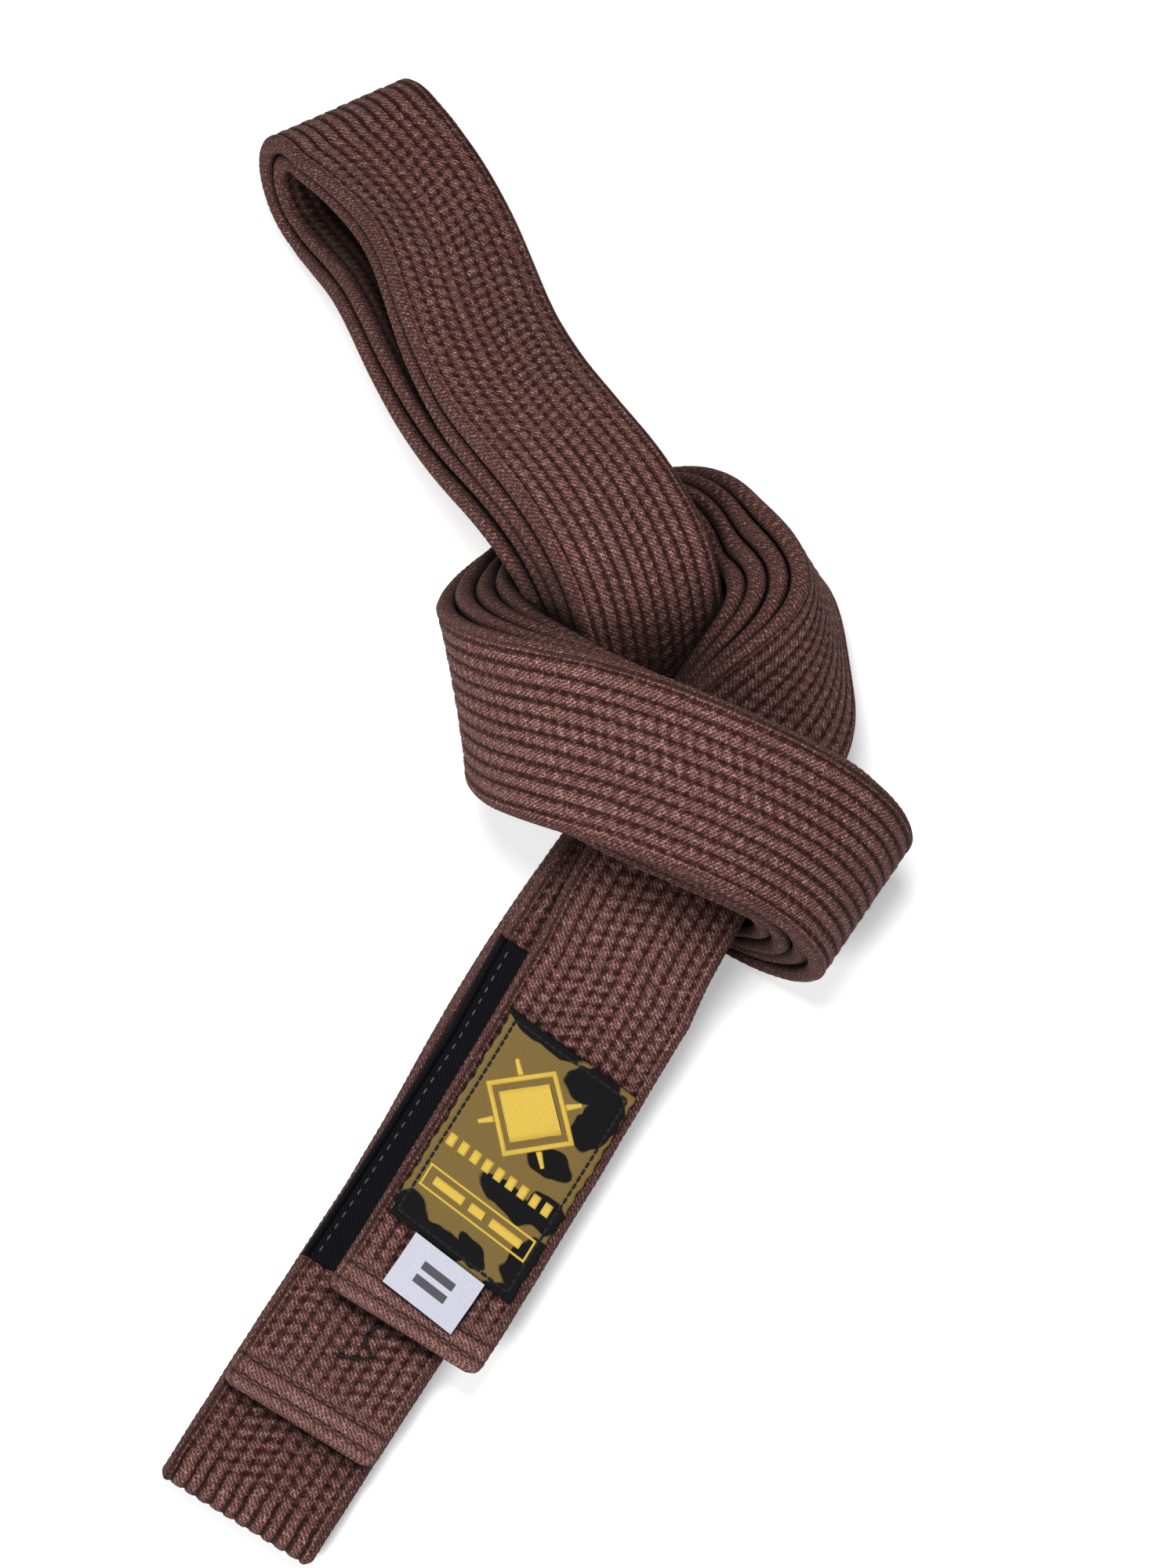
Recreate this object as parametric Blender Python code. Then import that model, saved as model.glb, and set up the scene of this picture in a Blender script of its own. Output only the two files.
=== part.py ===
"""Martial arts belt, folded in half twice and tied in one overhand knot.

The belt lies on its back on a table.  Its four layers travel together as one
bundle: from the two free ends and the first fold, through the knot, and up to
a pair of nested loops.  Every strip is a section swept along that bundle.
Lengths in this file are millimetres; new_object() turns them into metres.
"""
import math

import bmesh
import bpy
import numpy as np
from mathutils import Matrix

# ---------------------------------------------------------------- dimensions
MM = 0.001
BELT_WIDTH = 38.4        # one and a half inches
BELT_THICK = 4.2
PITCH = 4.8              # centre to centre of neighbouring layers
EDGE_ROUND = 1.6         # how far the flat face stops short of the edge
COVER_WALL = 0.8
CORE_GAP = 0.3
HEM = 3.0                # solid hem at each cut end of the belt

# Distances along the bundle, from the first station.
LABEL_END = 46.8         # free end that carries the label
RANK_END = 18.4          # free end that carries the rank bar
LABEL_HINGE = 130.4      # the label end bends up here
RANK_HINGE = 144.4       # the rank end bends up here
LOOP_HINGE = 588.0       # the nested loops bend up here
HINGE_GAP = 1.0          # half of the cut between two moving stretches
LAYER_LIFT_GAP = 4.6     # room that layer 1 needs behind the rank hinge

# Rank bar, label, size tag and thread.
BAR_START, BAR_END = 50.4, 134.4
BAR_BELT_THICK = 3.2
BAR_GAP, BAR_WALL = 0.2, 0.35
LABEL_START, LABEL_LENGTH, LABEL_WIDTH = 65.9, 55.0, 33.0
LABEL_SIDE = 0.6
LABEL_THICK = 0.8
LABEL_SKEW = 0.11        # its cross edges slant by this much
TAG_LENGTH, TAG_WIDTH, TAG_THICK, TAG_SIDE = 12.0, 18.7, 0.5, 1.1
TAG_GAP = 1.2            # from the tag to the label
TAG_LIFT = 1.3           # raises the tag over the box of stitching
SURFACE_GAP = 0.3
THREAD_RADIUS = 0.35
HEM_ROWS = (3.0, 7.5)
ROW_INSET = 3.0
LOOP_SPREAD = 13.0       # the inner loop opens by this much at its end
FOLD_BULGE = 2.2         # the first fold stands open by this much

# Route of the bundle's centre, with the direction across the belt.
# The list runs from the first fold to the nested loops.
STATIONS = (
    # the four layers lie flat on the table
    ((-62.5, -158.5, 9.8), (0.88, -0.47, 0.00)),
    ((-39.5, -120.5, 9.8), (0.85, -0.52, 0.00)),
    ((-18.5, -86.0, 10.3), (0.85, -0.52, -0.03)),
    # they climb over the returning strand, under the crossing band
    ((-0.5, -56.0, 17.0), (0.84, -0.51, -0.17)),
    ((15.5, -33.5, 29.0), (0.82, -0.54, -0.19)),
    ((31.0, -14.5, 36.0), (0.80, -0.51, -0.30)),
    ((42.0, 0.5, 37.3), (0.86, -0.37, -0.36)),
    # the right side of the ring stands on its edge
    ((50.0, 13.5, 35.5), (0.72, -0.18, -0.67)),
    ((54.5, 33.5, 30.5), (0.25, 0.11, -0.96)),
    ((49.0, 47.5, 26.0), (0.14, 0.06, -0.99)),
    # behind, it leans over and passes under the upper limb
    ((32.5, 53.0, 21.0), (-0.07, -0.65, -0.75)),
    ((16.0, 48.5, 17.5), (-0.07, -0.92, -0.40)),
    ((0.5, 39.0, 18.5), (0.00, -0.95, -0.30)),
    # the left side turns up and over into the crossing band
    ((-10.5, 21.5, 33.0), (0.16, -0.97, -0.17)),
    ((-0.5, 3.2, 55.3), (0.05, -0.95, -0.29)),
    ((23.0, -9.0, 61.0), (-0.38, -0.92, -0.11)),
    ((44.0, -17.5, 57.6), (-0.44, -0.90, -0.01)),
    # the right side turns down and under
    ((59.3, -23.5, 46.8), (-0.54, -0.84, 0.01)),
    ((64.0, -26.5, 30.5), (-0.56, -0.83, 0.05)),
    ((57.0, -22.5, 13.5), (-0.60, -0.80, 0.02)),
    # the returning strand crosses the table, then climbs through the ring
    ((44.0, -14.5, 9.8), (-0.66, -0.75, 0.00)),
    ((32.0, -2.0, 11.5), (-0.78, -0.62, 0.07)),
    ((25.5, 9.5, 18.5), (-0.78, -0.60, 0.16)),
    ((21.5, 22.0, 33.0), (-0.78, -0.54, 0.31)),
    ((17.5, 38.5, 48.5), (-0.79, -0.50, 0.35)),
    # the upper limb comes down towards the loops
    ((7.0, 56.5, 51.4), (-0.77, -0.50, 0.40)),
    ((-7.5, 77.5, 42.5), (-0.69, -0.56, 0.47)),
    ((-19.0, 100.0, 34.0), (-0.64, -0.57, 0.52)),
    ((-28.5, 123.5, 27.5), (-0.61, -0.61, 0.50)),
    ((-42.0, 145.5, 22.0), (-0.64, -0.72, 0.28)),
)
# The route is drawn from a corner of the knot; this puts the origin under the
# middle of the whole belt.
ORIGIN_SHIFT = np.array((0.6, 1.8, -0.3))
# How far each layer sits to the side of the bundle: (distance, offset).
SIDE_OFFSETS = {
    1: ((0, 8.2), (60, 9.2), (140, 8.2), (180, 1.0)),
    2: ((0, -1.0), (30, 0.0), (110, 2.0), (175, 0.0)),
    3: ((0, -1.0), (120, 0.0)),
    4: ((0, -2.0), (100, -1.0), (150, 0.0)),
}
# Extra distance between layers 2 and 3 where the loops open: (distance, extra).
SPREAD = ((0, 0.0), (585, 0.0), (622, 4.0), (655, 9.0), (675, LOOP_SPREAD))
# Distances where the sections are placed: (from, to, step).
SECTION_STEPS = ((0, 90, 15.0), (90, 160, 8.0), (160, 200, 6.0), (200, 300, 5.0),
                 (300, 588, 6.6), (588, 700, 8.5))
TURN_STEPS = 10

COLOURS = {
    "cover": ((0.085, 0.030, 0.027, 1.0), 0.9),
    "core": ((0.78, 0.76, 0.70, 1.0), 0.95),
    "bar": ((0.006, 0.006, 0.008, 1.0), 0.8),
    "label": ((0.13, 0.10, 0.03, 1.0), 0.6),
    "tag": ((0.62, 0.62, 0.72, 1.0), 0.5),
    "thread": ((0.05, 0.02, 0.018, 1.0), 0.7),
    "dark_thread": ((0.004, 0.004, 0.005, 1.0), 0.6),
}


# ------------------------------------------------------------- bundle route
def unit(rows):
    return rows / np.linalg.norm(rows, axis=-1, keepdims=True)


def natural_spline(knots, values, at):
    """Values and slopes of the natural cubic spline through the knots."""
    count = len(knots)
    step = np.diff(knots)
    system = np.eye(count)
    right = np.zeros_like(values)
    for i in range(1, count - 1):
        system[i, i - 1:i + 2] = step[i - 1], 2 * (step[i - 1] + step[i]), step[i]
        rise_after = (values[i + 1] - values[i]) / step[i]
        rise_before = (values[i] - values[i - 1]) / step[i - 1]
        right[i] = 6 * (rise_after - rise_before)
    bend = np.linalg.solve(system, right)
    i = np.clip(np.searchsorted(knots, at, side="right") - 1, 0, count - 2)
    h = step[i][:, None]
    a = (knots[i + 1] - at)[:, None] / h
    b = 1 - a
    place = (a * values[i] + b * values[i + 1]
             + ((a ** 3 - a) * bend[i] + (b ** 3 - b) * bend[i + 1]) * h ** 2 / 6)
    slope = ((values[i + 1] - values[i]) / h
             + ((3 * b ** 2 - 1) * bend[i + 1] - (3 * a ** 2 - 1) * bend[i]) * h / 6)
    return place, slope


class Bundle:
    """Centre line of the four layers, with a frame at every distance."""

    def __init__(self):
        self.points = np.array([place for place, _ in STATIONS]) + ORIGIN_SHIFT
        self.across = unit(np.array([across for _, across in STATIONS]))
        chords = np.linalg.norm(np.diff(self.points, axis=0), axis=1)
        self.knots = np.concatenate(([0.0], np.cumsum(chords)))
        self.length = self.knots[-1]

    def frame(self, distances):
        at = np.asarray(distances, dtype=float)
        centre, slope = natural_spline(self.knots, self.points, at)
        along = unit(slope)
        across, _ = natural_spline(self.knots, self.across, at)
        across = unit(across - along * (across * along).sum(1, keepdims=True))
        return centre, along, across, np.cross(across, along)

    def layer(self, number, distances):
        """Centre, across and outward directions of one layer, and its heading."""
        at = np.asarray(distances, dtype=float)
        centre, _, across, outward = self.frame(at)
        rank = 2.5 - number
        spread = np.interp(at, *zip(*SPREAD))
        height = rank * PITCH + math.copysign(0.5, rank) * spread
        if number == 3:
            height = height + fold_bulge(at)
        side = np.interp(at, *zip(*SIDE_OFFSETS[number]))
        centre = centre + outward * height[:, None] + across * side[:, None]
        return centre, across, outward, np.ones(len(at))


def fold_bulge(at):
    """Layer 3 stands a little off layer 4 beside the first fold."""
    return FOLD_BULGE * np.clip(1 - at / 19.0, 0, 1) ** 2


def sections(start, end):
    """Distances of the sections from start to end, closer where it bends."""
    marks = [start]
    for low, high, step in SECTION_STEPS:
        first, last = max(low, start), min(high, end)
        if last - first < 0.5:
            continue
        count = max(1, round((last - first) / step))
        marks += [first + (last - first) * (k + 1) / count for k in range(count)]
    return np.array(marks)


def half_turn(inward, outward, steps=TURN_STEPS):
    """Sections of the round turn that joins the ends of two layers."""
    start, end = inward[0][-1], outward[0][0]
    middle = (start + end) / 2
    reach = np.linalg.norm(start - middle)
    arm = unit(start - middle)
    across = unit(inward[1][-1] + outward[1][0])
    travel = start - inward[0][-2]
    ahead = travel - arm * (arm @ travel) - across * (across @ travel)
    angles = math.pi * np.arange(1, steps)[:, None] / steps
    direction = arm * np.cos(angles) + unit(ahead) * np.sin(angles)
    return (middle + direction * reach, np.tile(across, (steps - 1, 1)), direction,
            np.full(steps - 1, inward[3][-1]))


# --------------------------------------------------------------- strip paths
def stretch(bundle, number, start, end):
    return bundle.layer(number, sections(start, end))


def reverse(path):
    """The same stretch run the other way, so its outward side stays put."""
    centre, across, out, heading = (rows[::-1] for rows in path)
    return centre, across, out, -heading


def join(*paths):
    return tuple(np.concatenate(rows) for rows in zip(*paths))


def folded(inward, outward):
    """Two layers joined by a round turn; the second one faces the other way."""
    centre, across, out, heading = outward
    return join(inward, half_turn(inward, outward), (centre, across, -out, heading))


# ------------------------------------------------------------------- meshes
def outline(width, thick, rounding):
    """Six-sided belt section with slim edges."""
    a, b = width / 2, thick / 2
    flat = a - rounding
    return ((-flat, b), (flat, b), (a, 0), (flat, -b), (-flat, -b), (-a, 0))


def rectangle(width, thick):
    a, b = width / 2, thick / 2
    return ((-a, b), (a, b), (a, -b), (-a, -b))


def rings_of(path, section_at):
    rings = []
    for k, (c, w, n) in enumerate(zip(*path[:3])):
        rings.append([c + w * x + n * y for x, y in section_at(k)])
    return rings


def skin(bm, rings, headings=None, closed=False, inward=False):
    """Faces between rings of equal size; returns the vertices ring by ring.

    A twisted strip has no flat quads.  Each one is cut from the near edge of
    the bundle's earlier section to the far edge of its later one, on both
    faces of every layer, so that neighbouring surfaces stay parallel.
    """
    verts = [[bm.verts.new(point) for point in ring] for ring in rings]
    pairs = list(zip(verts, verts[1:]))
    if closed:
        pairs.append((verts[-1], verts[0]))
    for row, (ring, following) in enumerate(pairs):
        ahead = headings is None or headings[row] > 0
        for k, vert in enumerate(ring):
            n = (k + 1) % len(ring)
            upper = k < len(ring) // 2
            across, beyond = following[n], following[k]
            if upper == ahead:
                halves = (vert, ring[n], across), (vert, across, beyond)
            else:
                halves = (vert, ring[n], beyond), (ring[n], across, beyond)
            for corners in halves:
                bm.faces.new(reversed(corners) if inward else corners)
    return verts


def annulus(bm, outer, inner):
    """Flat end of a hollow strip, between its outer and its inner ring."""
    edges = set()
    for ring in (outer, inner):
        for k, vert in enumerate(ring):
            edges.add(bm.edges.get((vert, ring[(k + 1) % len(ring)])))
    bmesh.ops.triangle_fill(bm, use_beauty=True, edges=list(edges))


def new_object(name, bm, material, collection):
    bmesh.ops.recalc_face_normals(bm, faces=bm.faces)
    if bm.calc_volume(signed=True) < 0:
        bmesh.ops.reverse_faces(bm, faces=bm.faces)
    mesh = bpy.data.meshes.new(name)
    bm.to_mesh(mesh)
    bm.free()
    mesh.transform(Matrix.Diagonal((MM, MM, MM, 1.0)))
    obj = bpy.data.objects.new(name, mesh)
    obj.data.materials.append(material)
    collection.objects.link(obj)
    return obj


def solid_strip(name, rings, material, collection, closed=False, headings=None):
    bm = bmesh.new()
    verts = skin(bm, rings, headings, closed)
    if not closed:
        bm.faces.new(reversed(verts[0]))
        bm.faces.new(verts[-1])
    return new_object(name, bm, material, collection)


def cover_strip(name, path, material, collection, thick_at=None, hem_at_start=False):
    """Sewn cover: a hollow strip, open at its cuts and hemmed at a belt end."""
    def thick(k):
        return thick_at(k) if thick_at else BELT_THICK

    def outer(k):
        return outline(BELT_WIDTH, thick(k), EDGE_ROUND)

    def inner(k):
        return rectangle(BELT_WIDTH - 2 * EDGE_ROUND, thick(k) - 2 * COVER_WALL)

    first = 1 if hem_at_start else 0
    bm = bmesh.new()
    shell = skin(bm, rings_of(path, outer), path[3])
    cavity = skin(bm, rings_of(path, inner)[first:], path[3][first:], inward=True)
    annulus(bm, shell[-1], cavity[-1])
    if hem_at_start:
        bm.faces.new(shell[0])
        bm.faces.new(cavity[0])
    else:
        annulus(bm, shell[0], cavity[0])
    return new_object(name, bm, material, collection)


def core_strip(name, path, material, collection, thick_at=None, hem_at_start=False):
    """Batting strip inside the cover, clear of it all round."""
    def section(k):
        thick = thick_at(k) if thick_at else BELT_THICK
        return rectangle(BELT_WIDTH - 2 * EDGE_ROUND - 2 * CORE_GAP,
                         thick - 2 * COVER_WALL - 2 * CORE_GAP)

    rings = rings_of(path, section)
    if hem_at_start:
        rings = rings[1:]
        rings[0] = [p + CORE_GAP * unit(q - p) for p, q in zip(rings[0], rings[1])]
    return solid_strip(name, rings, material, collection, headings=path[3][-len(rings):])


def on_layer(bundle, number, distance, side, lift):
    """A point above the face of a layer, to the side of the layer's middle."""
    centre, across, out, _ = bundle.layer(number, [distance])
    return centre[0] + across[0] * side + out[0] * lift


def thread_loop(name, points, material, collection, closed=True, sides=6):
    """Round thread through the points, as one tube."""
    points = [np.array(p) for p in points]
    count = len(points)
    rings = []
    up = np.array((0.0, 0.0, 1.0))
    for k, point in enumerate(points):
        before = points[k - 1] if closed or k > 0 else point
        after = points[(k + 1) % count] if closed or k < count - 1 else point
        along = unit(after - before)
        side = unit(np.cross(up, along))
        rise = np.cross(along, side)
        ring = []
        for s in range(sides):
            angle = 2 * math.pi * s / sides
            arm = side * math.cos(angle) + rise * math.sin(angle)
            ring.append(point + THREAD_RADIUS * arm)
        rings.append(ring)
    return solid_strip(name, rings, material, collection, closed=closed)


# ------------------------------------------------------------- the sub-parts
def make_material(key):
    colour, roughness = COLOURS[key]
    material = bpy.data.materials.new(key)
    material.use_nodes = True
    shader = material.node_tree.nodes["Principled BSDF"]
    shader.inputs["Base Color"].default_value = colour
    shader.inputs["Roughness"].default_value = roughness
    shader.inputs["Metallic"].default_value = 0.0
    return material


def belt_strips(bundle, collection, name_material):
    """Cover and core of every stretch of the belt."""
    def bar_thick(marks):
        inside = (marks > BAR_START - 4) & (marks < BAR_END + 4)
        return np.where(inside, BAR_BELT_THICK, BELT_THICK)

    def ended(number, end_mark, stop, extra=()):
        body = sections(end_mark + HEM, stop)
        return np.unique(np.concatenate(([end_mark], body, extra)))

    label_marks = ended(1, LABEL_END, LABEL_HINGE - HINGE_GAP)
    bar_edges = (BAR_START - 5, BAR_START - 3, BAR_END + 3, BAR_END + 5)
    rank_marks = ended(2, RANK_END, RANK_HINGE - HINGE_GAP, bar_edges)
    rank_thick = bar_thick(rank_marks)
    knot_start, knot_end = RANK_HINGE + HINGE_GAP, LOOP_HINGE - HINGE_GAP
    loop_start = LOOP_HINGE + HINGE_GAP
    loop_end = bundle.length

    fold = folded(reverse(stretch(bundle, 3, 0.0, knot_end)),
                  stretch(bundle, 4, 0.0, knot_end))
    outer_loop = folded(stretch(bundle, 1, loop_start, loop_end),
                        reverse(stretch(bundle, 4, loop_start, loop_end)))
    inner_loop = folded(stretch(bundle, 2, loop_start, loop_end),
                        reverse(stretch(bundle, 3, loop_start, loop_end)))
    strips = {
        "label_end": (bundle.layer(1, label_marks), None, True),
        "label_bend": (stretch(bundle, 1, LABEL_HINGE + HINGE_GAP, RANK_HINGE - LAYER_LIFT_GAP),
                       None, False),
        "rank_end": (bundle.layer(2, rank_marks), lambda k: rank_thick[k], True),
        "knot_first_layer": (stretch(bundle, 1, knot_start, knot_end), None, False),
        "knot_second_layer": (stretch(bundle, 2, knot_start, knot_end), None, False),
        "fold_run": (fold, None, False),
        "outer_loop": (outer_loop, None, False),
        "inner_loop": (inner_loop, None, False),
    }
    for name, (path, thick_at, hemmed) in strips.items():
        cover_strip("cover_" + name, path, name_material("cover"), collection, thick_at, hemmed)
        core_strip("core_" + name, path, name_material("core"), collection, thick_at, hemmed)


def rank_bar(bundle, collection, name_material):
    path = stretch(bundle, 2, BAR_START, BAR_END)
    width = BELT_WIDTH + 2 * BAR_GAP
    thick = BAR_BELT_THICK + 2 * BAR_GAP
    bm = bmesh.new()
    outer = outline(width + 2 * BAR_WALL, thick + 2 * BAR_WALL, EDGE_ROUND)
    inner = outline(width, thick, EDGE_ROUND)
    shell = skin(bm, rings_of(path, lambda k: outer))
    hole = skin(bm, rings_of(path, lambda k: inner), inward=True)
    annulus(bm, shell[0], hole[0])
    annulus(bm, shell[-1], hole[-1])
    new_object("rank_bar", bm, name_material("bar"), collection)


def plate(bundle, name, sides_at, lift, thick, rows, material, collection):
    """Thin cloth plate lying on layer 1; sides_at(part) gives its two edges."""
    rings = []
    for row in range(rows + 1):
        (s_left, t_left), (s_right, t_right) = sides_at(row / rows)
        left = [on_layer(bundle, 1, s_left, t_left, lift + h) for h in (thick, 0)]
        right = [on_layer(bundle, 1, s_right, t_right, lift + h) for h in (thick, 0)]
        rings.append([left[0], right[0], right[1], left[1]])
    return solid_strip(name, rings, material, collection)


def label_corner(u, v, inset=0.0):
    """Distance and side of a point of the label; u runs along it, v across it."""
    along = inset + (LABEL_LENGTH - 2 * inset) * u
    side = (v - 0.5) * (LABEL_WIDTH - 2 * inset)
    return LABEL_START + along - LABEL_SKEW * side, LABEL_SIDE + side


def label_and_tag(bundle, collection, name_material):
    lift = BELT_THICK / 2 + SURFACE_GAP
    plate(bundle, "label", lambda u: (label_corner(u, 0), label_corner(u, 1)),
          lift, LABEL_THICK, 8, name_material("label"), collection)
    tag_top = LABEL_START - TAG_GAP

    def tag_sides(u):
        along = tag_top - TAG_LENGTH * (1 - u)
        slant = LABEL_SKEW * TAG_WIDTH / 2
        left, right = TAG_SIDE - TAG_WIDTH / 2, TAG_SIDE + TAG_WIDTH / 2
        return (along + slant, left), (along - slant, right)

    plate(bundle, "size_tag", tag_sides, lift + TAG_LIFT, TAG_THICK, 2,
          name_material("tag"), collection)
    top = lift + LABEL_THICK + SURFACE_GAP + THREAD_RADIUS
    edge = [(k / 6, 0) for k in range(6)] + [(1, k / 4) for k in range(4)]
    edge += [(1 - k / 6, 1) for k in range(6)] + [(0, 1 - k / 4) for k in range(4)]
    points = [on_layer(bundle, 1, *label_corner(u, v, inset=1.6), top) for u, v in edge]
    thread_loop("label_stitching", points, name_material("dark_thread"), collection)


def hem_stitching(bundle, name, number, end_mark, collection, name_material):
    """Box of stitching across a belt end."""
    half = BELT_WIDTH / 2 - ROW_INSET
    top = BELT_THICK / 2 + SURFACE_GAP + THREAD_RADIUS
    near, far = (end_mark + row for row in HEM_ROWS)
    corners = [(near, -half), (near, half), (far, half), (far, -half)]
    points = []
    for (s0, t0), (s1, t1) in zip(corners, corners[1:] + corners[:1]):
        count = 6 if s0 == s1 else 2
        for k in range(count):
            part = k / count
            distance, side = s0 + (s1 - s0) * part, t0 + (t1 - t0) * part
            points.append(on_layer(bundle, number, distance, side, top))
    thread_loop(name, points, name_material("thread"), collection)


def bar_stitching(bundle, collection, name_material):
    """Straight seam along the visible edge of the rank bar."""
    half = BAR_BELT_THICK / 2 + BAR_GAP + BAR_WALL
    top = half + SURFACE_GAP + THREAD_RADIUS
    side = -BELT_WIDTH / 2 + 3.2
    marks = np.linspace(BAR_START + 1, BAR_END - 1, 16)
    points = [on_layer(bundle, 2, s, side, top) for s in marks]
    thread_loop("rank_bar_stitching", points, name_material("dark_thread"), collection,
                closed=False)


def loose_thread(bundle, collection, name_material):
    """Short end of thread that hangs out from under the label end."""
    top = BELT_THICK / 2 + SURFACE_GAP + THREAD_RADIUS
    route = ((46.0, 4.0), (43.5, 2.5), (41.5, 3.0), (39.5, 5.5), (38.0, 5.0),
             (36.5, 2.0), (35.5, -1.5))
    points = [on_layer(bundle, 2, s, t, top) for s, t in route]
    thread_loop("loose_thread", points, name_material("dark_thread"), collection, closed=False)


def main():
    for obj in list(bpy.data.objects):
        bpy.data.objects.remove(obj, do_unlink=True)
    collection = bpy.data.collections.new("martial_arts_belt")
    bpy.context.scene.collection.children.link(collection)

    bundle = Bundle()
    belt_strips(bundle, collection, make_material)
    rank_bar(bundle, collection, make_material)
    label_and_tag(bundle, collection, make_material)
    hem_stitching(bundle, "label_end_stitching", 1, LABEL_END, collection, make_material)
    hem_stitching(bundle, "rank_end_stitching", 2, RANK_END, collection, make_material)
    bar_stitching(bundle, collection, make_material)
    loose_thread(bundle, collection, make_material)


main()
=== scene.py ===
"""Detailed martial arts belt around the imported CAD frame.

The belt is one quilted strip, folded in half twice and tied in an overhand knot.
Its four layers travel together as one bundle; every cloth surface here is swept
along that bundle.  Lengths are millimetres until make_mesh() turns them into metres.
"""
import math

import bpy
import numpy as np
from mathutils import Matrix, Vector


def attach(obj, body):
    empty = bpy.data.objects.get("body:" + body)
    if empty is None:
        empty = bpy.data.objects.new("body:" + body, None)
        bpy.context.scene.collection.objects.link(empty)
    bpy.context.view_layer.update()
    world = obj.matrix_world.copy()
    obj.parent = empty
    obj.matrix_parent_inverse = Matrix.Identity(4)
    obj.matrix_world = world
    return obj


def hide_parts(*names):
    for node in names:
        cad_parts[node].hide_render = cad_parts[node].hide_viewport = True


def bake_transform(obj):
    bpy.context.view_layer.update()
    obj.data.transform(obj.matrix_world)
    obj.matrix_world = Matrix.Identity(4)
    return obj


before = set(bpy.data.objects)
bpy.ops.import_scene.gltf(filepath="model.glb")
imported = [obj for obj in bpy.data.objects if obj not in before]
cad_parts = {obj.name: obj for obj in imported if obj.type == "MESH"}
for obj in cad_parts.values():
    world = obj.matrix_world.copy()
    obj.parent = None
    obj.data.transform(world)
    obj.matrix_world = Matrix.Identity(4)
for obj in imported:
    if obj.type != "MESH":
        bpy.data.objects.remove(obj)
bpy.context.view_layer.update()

MM = 0.001
STEP = 0.8  # between sections along the belt
ACROSS_STEP = 0.58  # between points across it
MAP_UNIT = 10.0  # millimetres of cloth in one unit of its map

# ------------------------------------------------------------ belt dimensions
# Distances along the belt start at its first fold, where layers 3 and 4 meet.
BELT_WIDTH = 38.4
BELT_THICK = 4.3
HALF_WIDTH = BELT_WIDTH / 2
HALF_THICK = BELT_THICK / 2
PITCH = 4.8  # from one layer of the bundle to the next
MIDDLE_LAYER = 2.5  # layers 1 to 4 lie around the bundle's centre
LABEL_END, RANK_END = 46.8, 18.4
LABEL_HINGE, RANK_HINGE, LOOP_HINGE = 130.4, 144.4, 588.0
LABEL_SEAM = 137.0  # layer 1 changes piece here, between two hinges
HIDDEN_SEAM = 186.0  # layers 1 and 2 change piece here, under the crossing band
LOOP_SPREAD = 13.0
FOLD_BULGE, FOLD_REACH = 2.2, 19.0  # layer 3 lies higher near the first fold
SWAY, SWAY_START, SWAY_EASE = 0.7, 150, 40
SWAY_LENGTHS = (31.0, 83.0)
SURFACE_GAP = 0.3  # from a layer's plain face to what is sewn on it
SPARE = 8  # rows computed beyond a seam, so that both sides agree
SKIRT = 0.03  # how far the last row beyond a seam lies inside the next piece
FAR = 1000.0  # distance from a hemmed end, where a piece has none

# Rank bar, a sleeve around layer 2.
BAR_START, BAR_END = 50.4, 134.4
BAR_THICK = 4.3
BAR_BELT_THICK = 3.2  # the belt is squeezed to this inside the sleeve
BAR_OVERHANG = 0.35
BAR_SEAM = 16.2  # the sleeve's two rows of stitches, from the middle
BAR_DENT, BAR_DENT_WIDTH = 0.16, 0.4

# Label on layer 1, and the tag below it.
LABEL_START, LABEL_LENGTH, LABEL_WIDTH = 65.9, 55.0, 33.0
LABEL_SIDE = 0.6
LABEL_THICK = 0.8
LABEL_SKEW = 0.11  # it is sewn on at a slant
LABEL_INSET = 1.6  # from its edge to its stitching
LABEL_DENT, LABEL_DENT_WIDTH = 0.26, 0.45
TAG_LENGTH, TAG_WIDTH, TAG_SIDE = 12.0, 18.7, 1.1
TAG_LIFT = 1.3
TAG_GAP = 1.2
TAG_REACH = 1.0  # the tag goes on by this much towards the label
TAG_DROOP = 0.75
TAG_BLEND = (0.5, -1.6)  # two distances from its hinge, on the side held by the label and on the free side; the points found there are not used
TAG_BARS = (4.6, 7.6)  # printed bars, from the tag's free edge
TAG_BAR_HALF_LENGTH, TAG_BAR_HALF_WIDTH = 4.2, 0.9

# Quilting: rows of stitches along the belt, and puffed cloth between them.
ROWS = 11
FIRST_ROW = -16.3
ROW_PITCH = -2 * FIRST_ROW / (ROWS - 1)
ROW_REACH = 0.6  # rows by which the pattern goes past its first and last one
STITCH = 2.9
ROW_VARIETY = 2.3  # makes each row wander and puff in its own way
ROW_WANDER, WANDER_LENGTH = 0.14, 9.0
SLACK_LOSS = 14.0  # cloth has slack 1 where it is straight, and less outside a bend
LEAST_SLACK, MOST_SLACK = 0.30, 1.35
TIGHT_FROM, LEAST_TIGHT = 1.15, 0.12
GROOVE_WIDTH, SLACK_GROOVE_WIDTH = 0.42, 0.12
GROOVE_DEPTH, TIGHT_GROOVE_DEPTH, HOLE_DEPTH = 0.26, 0.20, 0.44
PUFF, PUFF_WAVE, PEBBLE = 0.08, 0.12, 0.27
PLAIN_EDGE, PLAIN_EASE = 2.0, 1.5  # no puffs this near to the belt's edges
# a low ridge near each edge, which the material also paints paler, as highlight
RIDGE_PLACE, RIDGE_WIDTH, RIDGE_HEIGHT = 17.7, 0.9, 0.16
# a dark line just inside each edge: painted shade of the gap between layers, and the row of stitches
# there
EDGE_LINE_PLACE, EDGE_LINE_WIDTH = 18.1, 0.55
UNEVEN, UNEVEN_LENGTH = 0.07, 23.0
BEND_WINDOW = 7  # rows over which a bend is smoothed
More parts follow.
